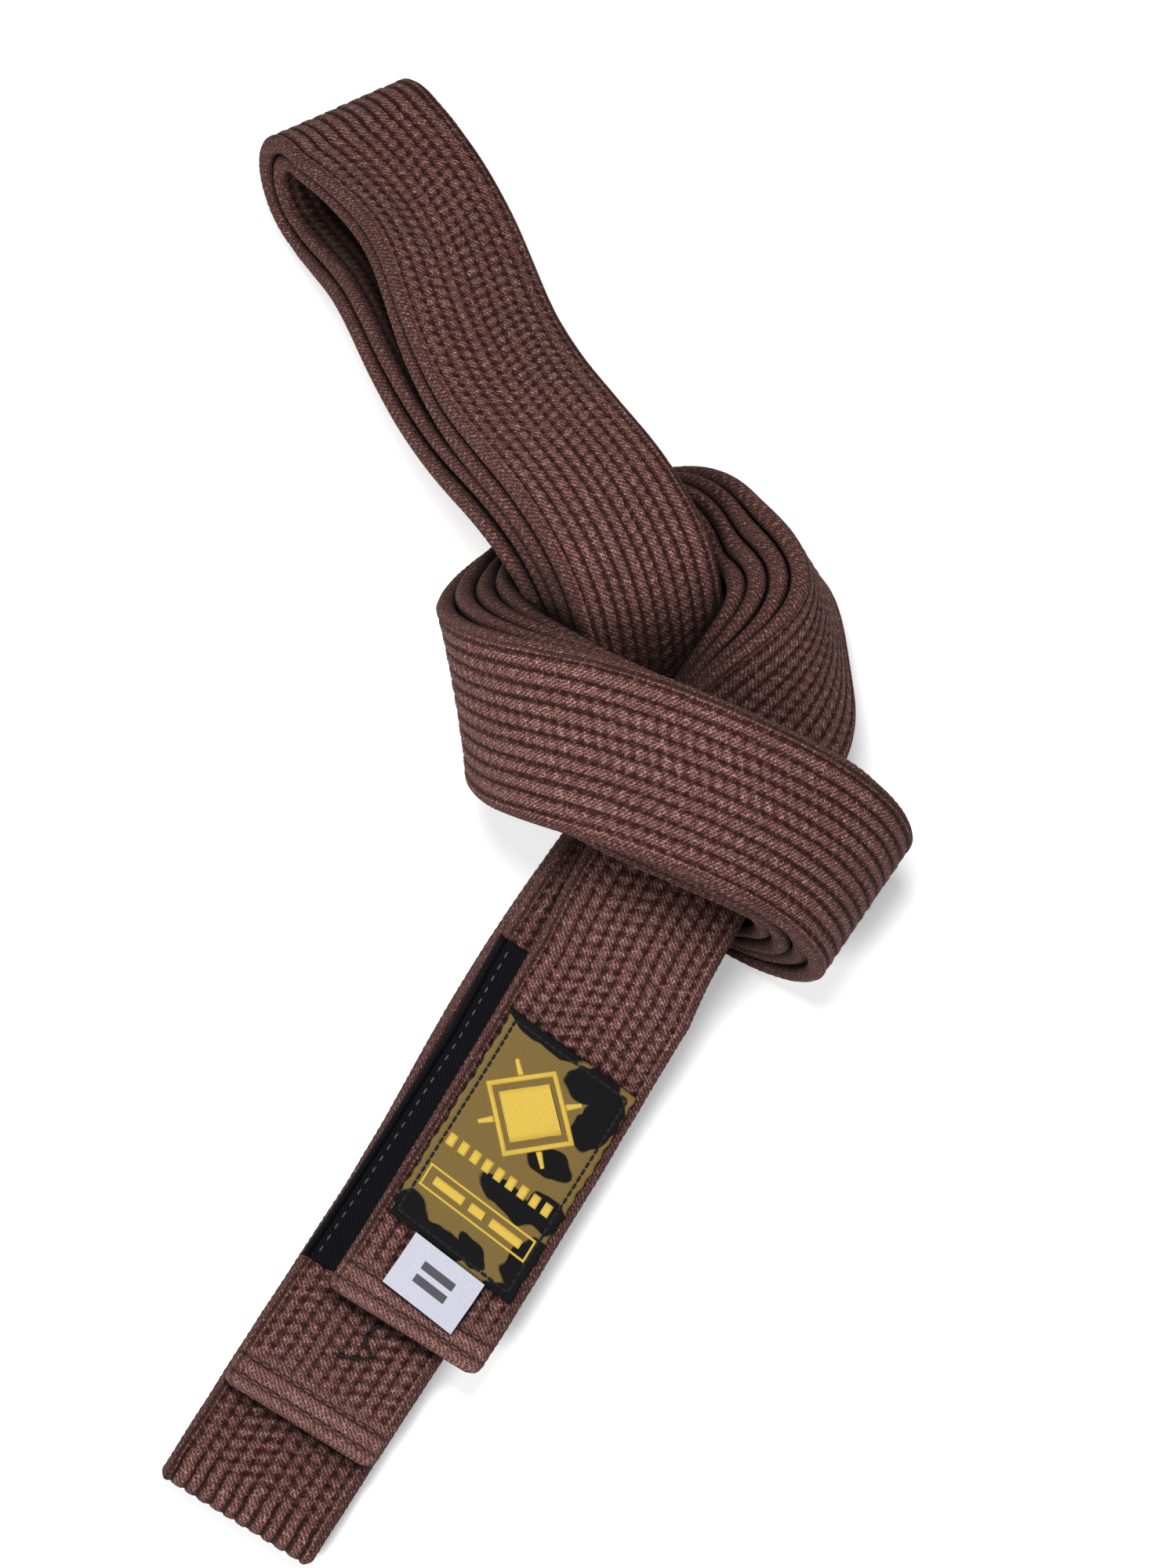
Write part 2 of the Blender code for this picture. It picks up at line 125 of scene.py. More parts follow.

# Painted light and shade of the quilted relief: 1 on the highest cloth and 0 in the deepest groove;
# the material reads it and paints the grooves dark, as shade, and the raised cloth pale, as
# highlight.
RELIEF_LIGHT_MIDDLE, RELIEF_LIGHT_PER_HEIGHT = 0.8, 1.05
# painted shade in the grooves and on the line inside each edge
GROOVE_SHADE, EDGE_SHADE = 0.5, 0.6
HUB_VALUE = 0.7  # painted light and shade, and paleness from use with painted sheen, at the hidden middle of a piece's ends

# Rims: the rolled edges, with a braid of stitches along them.
RIM_SEGMENTS = 8
RIM_PITCH = 1.9
# the rims are painted darker, as shade, and the braid's bumps paler and darker, as light and shade
BRAID_HEIGHT, RIM_SHADE_LEVEL, BRAID_LIGHT_AND_SHADE = 0.09, 0.42, 0.22

# Hemmed ends: two rows of stitches across the belt, and puckers beside them.
HEM_ROWS = (3.0, 7.4)
HEM_MIDDLE = sum(HEM_ROWS) / 2
HEM_EASE = 3.5  # the quilting begins over this distance
HEM_DENT, HEM_DENT_WIDTH, HEM_SHADE = 0.46, 0.45, 0.60
HEM_SWELL, HEM_SWELL_WIDTH = 0.22, 1.6
HEM_FOLDS = ((1.5, 1.1, 1.0), (HEM_MIDDLE, 1.5, 0.5))  # place, width and strength
HEM_PUCKER, PUCKER_SLANT = 2.7, 0.25
# the puckers are painted paler on their ridges and darker between them, as light and shade
PUCKER_HEIGHT, PUCKER_LIGHT_AND_SHADE = 0.15, 0.14
END_ROUND, END_CLOSE = 1.9, 0.93  # the end's edge is round, and not quite closed
CORNER, CORNER_CUT = 3.0, 0.8  # rounding of the end's two corners
# paleness from use, and painted sheen, along the edges and near the hemmed ends
EDGE_WEAR_AND_SHEEN, EDGE_WEAR_AND_SHEEN_WIDTH = 0.30, 1.3
END_WEAR_AND_SHEEN, END_WEAR_AND_SHEEN_REACH = 0.9, 4.0

# Route of the bundle's centre, with the direction across the belt.
STATIONS = (
    # the four layers lie flat on the table
    ((-62.5, -158.5, 9.8), (0.88, -0.47, 0.00)),
    ((-39.5, -120.5, 9.8), (0.85, -0.52, 0.00)),
    ((-18.5, -86.0, 10.3), (0.85, -0.52, -0.03)),
    # they climb over the returning strand, under the crossing band
    ((-0.5, -56.0, 17.0), (0.84, -0.51, -0.17)),
    ((15.5, -33.5, 29.0), (0.82, -0.54, -0.19)),
    ((31.0, -14.5, 36.0), (0.80, -0.51, -0.30)),
    ((42.0, 0.5, 37.3), (0.86, -0.37, -0.36)),
    # the right side of the ring stands on its edge
    ((50.0, 13.5, 35.5), (0.72, -0.18, -0.67)),
    ((54.5, 33.5, 30.5), (0.25, 0.11, -0.96)),
    ((49.0, 47.5, 26.0), (0.14, 0.06, -0.99)),
    # behind, it leans over and passes under the upper limb
    ((32.5, 53.0, 21.0), (-0.07, -0.65, -0.75)),
    ((16.0, 48.5, 17.5), (-0.07, -0.92, -0.40)),
    ((0.5, 39.0, 18.5), (0.00, -0.95, -0.30)),
    # the left side turns up and over into the crossing band
    ((-10.5, 21.5, 33.0), (0.16, -0.97, -0.17)),
    ((-0.5, 3.2, 55.3), (0.05, -0.95, -0.29)),
    ((23.0, -9.0, 61.0), (-0.38, -0.92, -0.11)),
    ((44.0, -17.5, 57.6), (-0.44, -0.90, -0.01)),
    # the right side turns down and under
    ((59.3, -23.5, 46.8), (-0.54, -0.84, 0.01)),
    ((64.0, -26.5, 30.5), (-0.56, -0.83, 0.05)),
    ((57.0, -22.5, 13.5), (-0.60, -0.80, 0.02)),
    # the returning strand crosses the table, then climbs through the ring
    ((44.0, -14.5, 9.8), (-0.66, -0.75, 0.00)),
    ((32.0, -2.0, 11.5), (-0.78, -0.62, 0.07)),
    ((25.5, 9.5, 18.5), (-0.78, -0.60, 0.16)),
    ((21.5, 22.0, 33.0), (-0.78, -0.54, 0.31)),
    ((17.5, 38.5, 48.5), (-0.79, -0.50, 0.35)),
    # the upper limb comes down towards the loops
    ((7.0, 56.5, 51.4), (-0.77, -0.50, 0.40)),
    ((-7.5, 77.5, 42.5), (-0.69, -0.56, 0.47)),
    ((-19.0, 100.0, 34.0), (-0.64, -0.57, 0.52)),
    ((-28.5, 123.5, 27.5), (-0.61, -0.61, 0.50)),
    ((-42.0, 145.5, 22.0), (-0.64, -0.72, 0.28)),
)
ORIGIN_SHIFT = np.array((0.6, 1.8, -0.3))
SIDE_OFFSETS = {
    1: ((0, 8.2), (60, 9.2), (140, 8.2), (180, 1.0)),
    2: ((0, -1.0), (30, 0.0), (110, 2.0), (175, 0.0)),
    3: ((0, -1.0), (120, 0.0)),
    4: ((0, -2.0), (100, -1.0), (150, 0.0)),
}
SPREAD = ((0, 0.0), (585, 0.0), (622, 4.0), (655, 9.0), (675, LOOP_SPREAD))


# --------------------------------------------------------------- bundle route
def unit(rows):
    """Vectors of length 1 in the same directions."""
    return rows / np.linalg.norm(rows, axis=-1, keepdims=True)


def natural_spline(knots, values, at):
    """Values and slopes of the natural cubic spline through the knots."""
    count = len(knots)
    step = np.diff(knots)
    system = np.eye(count)
    right = np.zeros_like(values)
    for i in range(1, count - 1):
        system[i, i - 1:i + 2] = step[i - 1], 2 * (step[i - 1] + step[i]), step[i]
        rise_after = (values[i + 1] - values[i]) / step[i]
        rise_before = (values[i] - values[i - 1]) / step[i - 1]
        right[i] = 6 * (rise_after - rise_before)
    bend = np.linalg.solve(system, right)
    i = np.clip(np.searchsorted(knots, at, side="right") - 1, 0, count - 2)
    h = step[i][:, None]
    a = (knots[i + 1] - at)[:, None] / h
    b = 1 - a
    place = (a * values[i] + b * values[i + 1]
             + ((a ** 3 - a) * bend[i] + (b ** 3 - b) * bend[i + 1]) * h ** 2 / 6)
    slope = ((values[i + 1] - values[i]) / h
             + ((3 * b ** 2 - 1) * bend[i + 1] - (3 * a ** 2 - 1) * bend[i]) * h / 6)
    return place, slope


class Bundle:
    """Centre line of the four layers, with a frame at every distance."""

    def __init__(self):
        self.points = np.array([place for place, _ in STATIONS]) + ORIGIN_SHIFT
        self.across = unit(np.array([across for _, across in STATIONS]))
        chords = np.linalg.norm(np.diff(self.points, axis=0), axis=1)
        self.knots = np.concatenate(([0.0], np.cumsum(chords)))
        self.length = self.knots[-1]

    def frame(self, distances):
        at = np.asarray(distances, dtype=float)
        centre, slope = natural_spline(self.knots, self.points, at)
        along = unit(slope)
        across, _ = natural_spline(self.knots, self.across, at)
        across = unit(across - along * (across * along).sum(1, keepdims=True))
        return centre, along, across, np.cross(across, along)

    def layer(self, number, distances):
        """Centre, across and outward directions of one layer."""
        at = np.asarray(distances, dtype=float)
        centre, _, across, outward = self.frame(at)
        rank = MIDDLE_LAYER - number
        spread = np.interp(at, *zip(*SPREAD))
        height = rank * PITCH + math.copysign(0.5, rank) * spread
        if number == 3:
            height = height + FOLD_BULGE * np.clip(1 - at / FOLD_REACH, 0, 1) ** 2
        side = np.interp(at, *zip(*SIDE_OFFSETS[number])) + sway(number, at)
        centre = centre + outward * height[:, None] + across * side[:, None]
        return centre, across, outward


def sway(number, at):
    """Small sideways wander of each layer, as hand-folded cloth has."""
    grown = np.clip((at - SWAY_START) / SWAY_EASE, 0, 1)
    short, long = SWAY_LENGTHS
    return grown * SWAY * np.sin(at / short + 1.9 * number) * np.sin(at / long + number)


def half_turn(inward, outward, sign):
    """Sections of the round turn that joins the ends of two layers."""
    start, end = inward[0][-1], outward[0][0]
    middle = (start + end) / 2
    reach = np.linalg.norm(start - middle)
    arm = unit(start - middle)
    across = unit(inward[1][-1] + outward[1][0])
    travel = start - inward[0][-2]
    ahead = travel - arm * (arm @ travel) - across * (across @ travel)
    steps = max(8, round(math.pi * reach / STEP))
    angles = math.pi * np.arange(1, steps)[:, None] / steps
    direction = arm * np.cos(angles) + unit(ahead) * np.sin(angles)
    return middle + direction * reach, np.tile(across, (steps - 1, 1)), sign * direction


def stretch(bundle, number, start, end, spare=(0, 0)):
    """Rows of one layer; spare adds rows beyond the start and the end."""
    count = max(2, round(abs(end - start) / STEP))
    step = (end - start) / count
    return bundle.layer(number, start + step * np.arange(-spare[0], count + 1 + spare[1]))


def arc_length(path):
    """Length of a path's centre line."""
    return np.linalg.norm(np.diff(path[0], axis=0), axis=1).sum()


def folded_strip(bundle, turns):
    """One long path through several layers; turns lists (layer, start, end)."""
    path, side = None, 1.0
    for place, (number, start, end) in enumerate(turns):
        spare = (SPARE if place == 0 else 0, SPARE if place == len(turns) - 1 else 0)
        centre, across, out = stretch(bundle, number, start, end, spare)
        part = (centre, across, out * side)
        if path is None:
            path = part
        else:
            arm = unit(path[0][-1] - part[0][0])
            sign = math.copysign(1.0, arm @ path[2][-1])
            path = join(path, half_turn(path, part, sign), part)
        side = -side
    return path


def join(*paths):
    """Paths one after the other, as one path."""
    return tuple(np.concatenate(rows) for rows in zip(*paths))


# ------------------------------------------------------------- smooth numbers
def ripple(seed, x, y, scale):
    """Smooth repeatable bumps between about -1 and 1."""
    rng = np.random.RandomState(seed)
    total = 0.0
    for level in range(3):
        for _ in range(3):
            angle = rng.uniform(0, 2 * math.pi)
            phase = rng.uniform(0, 2 * math.pi)
            wave = (x * math.cos(angle) + y * math.sin(angle)) * 2 * math.pi / scale
            total = total + np.sin(wave * 1.7 ** level + phase) / 1.6 ** level
    return total / 4.0


def ease(x, low, high):
    """Smooth step from 0 at low to 1 at high."""
    t = np.clip((x - low) / (high - low), 0, 1)
    return t * t * (3 - 2 * t)


def bell(distance, width):
    """1 at no distance, fading smoothly over the width."""
    return np.exp(-(distance / width) ** 2)


def unit_grid(rows, columns):
    """Two grids of numbers from 0 to 1, one growing by row and one by column."""
    return np.meshgrid(np.linspace(0, 1, rows), np.linspace(0, 1, columns), indexing="ij")


# ------------------------------------------------------------------- meshes
def make_mesh(name, points, faces, material, uv=None, attributes=None):
    """points (n, 3) in mm, faces (m, 3 or 4); uv and attributes are per point."""
    mesh = bpy.data.meshes.new(name)
    corners = faces.shape[1]
    mesh.vertices.add(len(points))
    mesh.vertices.foreach_set("co", (points * MM).astype(np.float32).ravel())
    mesh.loops.add(faces.size)
    mesh.loops.foreach_set("vertex_index", faces.astype(np.int32).ravel())
    mesh.polygons.add(len(faces))
    mesh.polygons.foreach_set("loop_start", np.arange(0, faces.size, corners, dtype=np.int32))
    mesh.update(calc_edges=True)
    mesh.polygons.foreach_set("use_smooth", np.full(len(faces), True))
    if uv is not None:
        layer = mesh.uv_layers.new(name="strip")
        layer.data.foreach_set("uv", uv[faces.ravel()].astype(np.float32).ravel())
    for key, values in (attributes or {}).items():
        attribute = mesh.attributes.new(key, "FLOAT", "POINT")
        attribute.data.foreach_set("value", values.astype(np.float32).ravel())
    mesh.validate()
    obj = bpy.data.objects.new(name, mesh)
    obj.data.materials.append(material)
    bpy.context.scene.collection.objects.link(obj)
    return obj


def grid_faces(rows, columns, wrap):
    """Quads of a grid of points; wrap closes each row on itself."""
    i = np.arange(rows - 1)[:, None]
    j = np.arange(columns if wrap else columns - 1)[None, :]
    following = (j + 1) % columns
    a, b = i * columns + j, i * columns + following
    return np.stack((a, a + columns, b + columns, b), axis=-1).reshape(-1, 4)


def capped(points, faces, columns):
    """Closes both ends of a tube of rings with quads around each ring's middle."""
    rows = len(points) // columns
    hubs, extra = [], []
    for row, flip in ((0, False), (rows - 1, True)):
        ring = points[row * columns:(row + 1) * columns]
        hub = len(points) + len(hubs)
        hubs.append(ring.mean(0))
        for k in range(0, columns, 2):
            quad = [row * columns + k, row * columns + (k + 1) % columns,
                    row * columns + (k + 2) % columns, hub]
            extra.append(quad[::-1] if flip else quad)
    return np.vstack((points, hubs)), np.vstack((faces, extra))


def slab(top, under, both_up=False):
    """Points and faces of the closed sheet between two grids of the same size.
    With both_up its hidden underside faces the same way as the top."""
    rows, columns = top.shape[:2]
    size = rows * columns
    face = grid_faces(rows, columns, wrap=False)
    index = np.arange(size).reshape(rows, columns)
    rim = np.concatenate((index[0, :-1], index[:-1, -1], index[-1, :0:-1], index[:0:-1, 0]))
    following = np.roll(rim, -1)
    wall = np.stack((rim, following, following + size, rim + size), -1)
    points = np.vstack((top.reshape(-1, 3), under.reshape(-1, 3)))
    below = face[:, ::-1] if both_up else face
    return points, np.vstack((face[:, ::-1], below + size, wall[:, ::-1]))


def slab_map(along, across):
    """Map of a slab: its two faces have the same one."""
    uv = np.stack((along, across), -1).reshape(-1, 2) / MAP_UNIT
    return np.vstack((uv, uv))


def swept(path, sideways, upward, place, around):
    """Points, faces and map of the closed tube whose sections stand along a path."""
    centre, across, out = path
    points = (centre[:, None, :] + across[:, None, :] * sideways[..., None]
              + out[:, None, :] * upward[..., None]).reshape(-1, 3)
    columns = len(around)
    points, faces = capped(points, grid_faces(len(place), columns, wrap=True), columns)
    spots = np.broadcast_arrays(place[:, None] / MAP_UNIT, around[None, :] / MAP_UNIT)
    uv = np.stack(spots, -1).reshape(-1, 2)
    return points, faces, np.vstack((uv, uv[:1], uv[-1:]))


def section_profile(half_width, half_thick, step):
    """Stadium outline: sideways place, upward place and place around it."""
    flat = half_width - half_thick
    count = 2 * round(flat / step)
    top = np.linspace(-flat, flat, count + 1)
    arc = np.linspace(0, math.pi, RIM_SEGMENTS + 1)[1:-1]
    x = np.concatenate((top, flat + half_thick * np.sin(arc), top[::-1],
                        -flat - half_thick * np.sin(arc)))
    y = np.concatenate((np.full(len(top), half_thick), half_thick * np.cos(arc),
                        np.full(len(top), -half_thick), -half_thick * np.cos(arc)))
    gap = np.hypot(np.diff(x, append=x[0]), np.diff(y, append=y[0]))
    around = np.concatenate(([0.0], np.cumsum(gap)[:-1]))
    return x, y, around


def alternate(row):
    """1 on even rows and 0 on odd ones: neighbours are half a stitch apart."""
    return np.abs(row % 2 - 1)


def quilting(s, v, bend, shift):
    """Height of the quilted cloth over its plain face, and its painted light and shade.

    s runs along the strip and v across it.  bend is positive outside a turn, and
    shift says which rows of the pattern are even."""
    between = (v - FIRST_ROW) / ROW_PITCH
    row = np.clip(np.round(between), 0, ROWS - 1)
    quilted = ((between > -ROW_REACH) & (between < ROWS - 1 + ROW_REACH)).astype(float)
    slack = np.clip(1.0 - SLACK_LOSS * bend, LEAST_SLACK, MOST_SLACK)
    tight = np.clip(TIGHT_FROM - slack, LEAST_TIGHT, 1.0)

    away = v - (FIRST_ROW + row * ROW_PITCH)
    wander = ROW_WANDER * np.sin(s / WANDER_LENGTH + ROW_VARIETY * row + shift)
    groove = bell(away + wander, GROOVE_WIDTH + SLACK_GROOVE_WIDTH * slack)
    stitches = 2 * math.pi * (s / STITCH + 0.5 * alternate(row + shift))
    hole = (0.5 + 0.5 * np.cos(stitches)) ** 2
    depth = GROOVE_DEPTH + TIGHT_GROOVE_DEPTH * tight + HOLE_DEPTH * hole * slack
    height = -groove * depth * quilted

    waves = 2 * math.pi * (s / STITCH + 0.5 * alternate(between + shift))
    pebble = np.sin(2 * math.pi * between) * np.sin(2 * math.pi * s / STITCH + ROW_VARIETY * row)
    puff = PUFF_WAVE * np.cos(waves) + PEBBLE * pebble + PUFF
    inside = np.clip((HALF_WIDTH - PLAIN_EDGE - np.abs(v)) / PLAIN_EASE, 0, 1)
    height = height - slack * (1 - groove) * puff * inside * quilted

    ridge = RIDGE_HEIGHT * bell(np.abs(v) - RIDGE_PLACE, RIDGE_WIDTH)
    edge_line = bell(np.abs(v) - EDGE_LINE_PLACE, EDGE_LINE_WIDTH)
    # painted light and shade: paler on raised cloth and on the ridge, darker in the grooves and on
    # the line inside each edge
    relief_light_and_shade = (RELIEF_LIGHT_MIDDLE + RELIEF_LIGHT_PER_HEIGHT * height + ridge
             - GROOVE_SHADE * tight * groove * quilted - EDGE_SHADE * edge_line)
    return height + ridge, np.clip(relief_light_and_shade, 0, 1)


def hem(x, from_end, height, relief_light_and_shade):
    """Calms the quilting and its painted light and shade near a hemmed end, and adds the hem's
    stitches and puckers, with painted shade in the stitch dents and painted light and shade on the
    puckers.
    """
    from_end = from_end[:, None]
    calm = ease(from_end, HEM_ROWS[1], HEM_ROWS[1] + HEM_EASE)
    height = height * calm
    relief_light_and_shade = RELIEF_LIGHT_MIDDLE + (relief_light_and_shade - RELIEF_LIGHT_MIDDLE) * calm
    for row in HEM_ROWS:
        dent = bell(from_end - row, HEM_DENT_WIDTH)
        height = height - HEM_DENT * dent
        relief_light_and_shade = relief_light_and_shade - HEM_SHADE * dent
    height = height + HEM_SWELL * bell(from_end - HEM_MIDDLE, HEM_SWELL_WIDTH)
    folds = sum(strength * bell(from_end - place, width) for place, width, strength in HEM_FOLDS)
    ladder = folds * np.cos(2 * math.pi * (x[None, :] + PUCKER_SLANT * from_end) / HEM_PUCKER)
    return height + PUCKER_HEIGHT * ladder, relief_light_and_shade + PUCKER_LIGHT_AND_SHADE * ladder


def bend_along(s, centre, out):
    """Curvature of a path, positive where its outward side is outside the turn."""
    along = unit(np.gradient(centre, s, axis=0))
    turn = np.gradient(along, s, axis=0)
    bend = -(turn * out).sum(1)
    padded = np.pad(bend, BEND_WINDOW // 2, mode="edge")
    return np.convolve(padded, np.full(BEND_WINDOW, 1 / BEND_WINDOW), "valid")


def belt_piece(name, path, material, start_mark, shift, seed, hemmed=False, spare=(0, 0),
               thick_at=None):
    """Quilted strip along a path.  start_mark is where its pattern starts, hemmed says
    whether the path starts at a hemmed end, and spare how many rows at each end of the
    path lie beyond a seam."""
    centre, _, out = path
    hops = np.linalg.norm(np.diff(centre, axis=0), axis=1)
    s = np.concatenate(([0.0], np.cumsum(hops)))
    s = s - s[spare[0]]
    bend = bend_along(s, centre, out)
    place = start_mark + s
    from_end = s if hemmed else np.full(len(s), FAR)

    x, y, around = section_profile(HALF_WIDTH, HALF_THICK, ACROSS_STEP)
    facing = ease(np.abs(y), 0.5, HALF_THICK * 0.98)[None, :]  # 1 on the faces, 0 on the rims
    height = np.zeros((len(s), len(x)))
    # painted light and shade of the relief on both faces, which the material reads
    relief_light_and_shade = np.zeros_like(height)
    for side in (1, -1):
        part = np.where(np.sign(y) == side, facing, 0)
        lift, top = quilting(place[:, None], x[None, :], side * bend[:, None], shift)
        lift, top = hem(x, from_end, lift, top)
        height += part * lift
        relief_light_and_shade += part * top
    braid = np.sin(2 * math.pi * (place[:, None] / RIM_PITCH + 0.5 * np.sign(y)[None, :] * facing))
    # painted shade on the rims, and painted light and shade on the braid's bumps
    relief_light_and_shade = relief_light_and_shade + (1 - facing) * (RIM_SHADE_LEVEL + BRAID_LIGHT_AND_SHADE * braid)
    height += BRAID_HEIGHT * (1 - facing) * braid
    height += UNEVEN * ripple(seed, place[:, None], around[None, :], UNEVEN_LENGTH)

    tall = np.ones(len(s)) if thick_at is None else thick_at(place) / BELT_THICK
    rounding = np.clip(1 - from_end / END_ROUND, 0, 1)
    tall = tall * np.sqrt(np.clip(1 - (rounding * END_CLOSE) ** 2, 0, 1))
    corner = np.clip(1 - from_end / CORNER, 0, 1)
    wide = 1 - (1 - np.sqrt(1 - corner ** 2)) * CORNER_CUT * CORNER / HALF_WIDTH
    sideways = x[None, :] * wide[:, None] + np.sign(x)[None, :] * (1 - facing) * height
    upward = (y[None, :] + np.sign(y)[None, :] * facing * height) * tall[:, None]

    # one row beyond each seam stays, a hair inside the next piece
    first, last = max(spare[0] - 1, 0), len(s) - max(spare[1] - 1, 0)
    if spare[0]:
        upward[first] -= SKIRT * np.sign(upward[first])
    if spare[1]:
        upward[last - 1] -= SKIRT * np.sign(upward[last - 1])
    keep = slice(first, last)
    points, faces, uv = swept([rows[keep] for rows in path], sideways[keep], upward[keep],
                              place[keep], around)
    # paleness from use, and painted sheen, along the edges and near a hemmed end
    edge_wear_and_sheen = EDGE_WEAR_AND_SHEEN * bell(HALF_WIDTH - np.abs(x), EDGE_WEAR_AND_SHEEN_WIDTH)
    end_wear_and_sheen = END_WEAR_AND_SHEEN * np.exp(-from_end[keep] / END_WEAR_AND_SHEEN_REACH)
    wear_and_sheen = np.clip(edge_wear_and_sheen[None, :] + end_wear_and_sheen[:, None], 0, 1)
    hubs = np.full(2, HUB_VALUE)
    return make_mesh(name, points, faces, material, uv, {
        "relief_light_and_shade": np.concatenate((relief_light_and_shade[keep].ravel(), hubs)),
        "wear_and_sheen": np.concatenate((wear_and_sheen.ravel(), hubs))})


# ------------------------------------------------------------------ materials
class Graph:
    """Short ways to add shader nodes."""

    def __init__(self, name):
        self.material = bpy.data.materials.new(name)
        self.material.use_nodes = True
        self.nodes, self.links = self.material.node_tree.nodes, self.material.node_tree.links
        self.shader = self.nodes["Principled BSDF"]

    def put(self, socket, value):
        if isinstance(value, bpy.types.NodeSocket):
            self.links.new(value, socket)
        else:
            socket.default_value = value

    def math(self, operation, a, b=0.0, c=0.0, clamp=False):
        node = self.nodes.new("ShaderNodeMath")
        node.operation = operation
        node.use_clamp = clamp
        for socket, value in zip(node.inputs, (a, b, c)):
            self.put(socket, value)
        return node.outputs[0]

    def mix(self, factor, a, b):
        node = self.nodes.new("ShaderNodeMix")
        node.data_type = "RGBA"
        self.put(node.inputs["Factor"], factor)
        self.put(node.inputs["A"], a)
        self.put(node.inputs["B"], b)
        return node.outputs["Result"]

    def attribute(self, name):
        node = self.nodes.new("ShaderNodeAttribute")
        node.attribute_name = name
        return node.outputs["Fac"]

    def strip_place(self):
        """Distance along the strip and around it, in millimetres."""
        node = self.nodes.new("ShaderNodeUVMap")
        node.uv_map = "strip"
        split = self.nodes.new("ShaderNodeSeparateXYZ")
        self.links.new(node.outputs[0], split.inputs[0])
        return self.times(split.outputs[0], MAP_UNIT), self.times(split.outputs[1], MAP_UNIT)

    def times(self, a, b):
        return self.math("MULTIPLY", a, b)

    def scaled(self, value, factor, offset, clamp=False):
        return self.math("MULTIPLY_ADD", value, factor, offset, clamp)

    def noise(self, scale, detail=2.0):
        """Noise in space, with a scale in waves per metre."""
        place = self.nodes.new("ShaderNodeNewGeometry")
        node = self.nodes.new("ShaderNodeTexNoise")
        self.links.new(place.outputs["Position"], node.inputs["Vector"])
        node.inputs["Scale"].default_value = scale
        node.inputs["Detail"].default_value = detail
        return node.outputs[0]

    def openness(self, distance):
        """Share of free space within a distance: 1 on an open face, less in a hollow."""
        node = self.nodes.new("ShaderNodeAmbientOcclusion")
        node.samples = 8
        node.inputs["Distance"].default_value = distance
        return node.outputs["AO"]

    def wave(self, u, v, u_period, v_period):
        """sin of 2 pi (u / u_period + v / v_period)"""
        turns = self.math("ADD", self.math("DIVIDE", u, u_period), self.math("DIVIDE", v, v_period))
        return self.math("SINE", self.times(turns, 2 * math.pi))

    def bump(self, height, distance, strength=1.0):
        node = self.nodes.new("ShaderNodeBump")
        node.inputs["Distance"].default_value = distance
        node.inputs["Strength"].default_value = strength
        self.links.new(height, node.inputs["Height"])
        self.links.new(node.outputs[0], self.shader.inputs["Normal"])

    def finish(self, colour, roughness, sheen=0.0, sheen_tint=(1, 1, 1, 1), specular=0.15):
        self.put(self.shader.inputs["Base Color"], colour)
        self.put(self.shader.inputs["Roughness"], roughness)
        self.shader.inputs["Sheen Weight"].default_value = sheen
        self.shader.inputs["Sheen Roughness"].default_value = 0.5
        self.shader.inputs["Sheen Tint"].default_value = sheen_tint
        self.shader.inputs["Specular IOR Level"].default_value = specular
        return self.material


def linear(r, g, b):
    """Shader colour from screen values of 0 to 255."""
    return tuple((c / 255 / 12.92 if c <= 10 else ((c / 255 + 0.055) / 1.055) ** 2.4)
                 for c in (r, g, b)) + (1.0,)


# Belt cloth: noises are in waves per metre and yarns in millimetres.
YARN_LENGTH, YARN_WIDTH = 1.05, 1.2
YARN_DRIFT = 1.4
DRIFT_NOISE, FIBRE_NOISE, BLOTCH_NOISE, FLECK_NOISE = 420.0, 2400.0, 90.0, 1500.0
HOLLOW_SHADE_REACH = 0.024  # metres within which other cloth paints shade on a face, through its colour


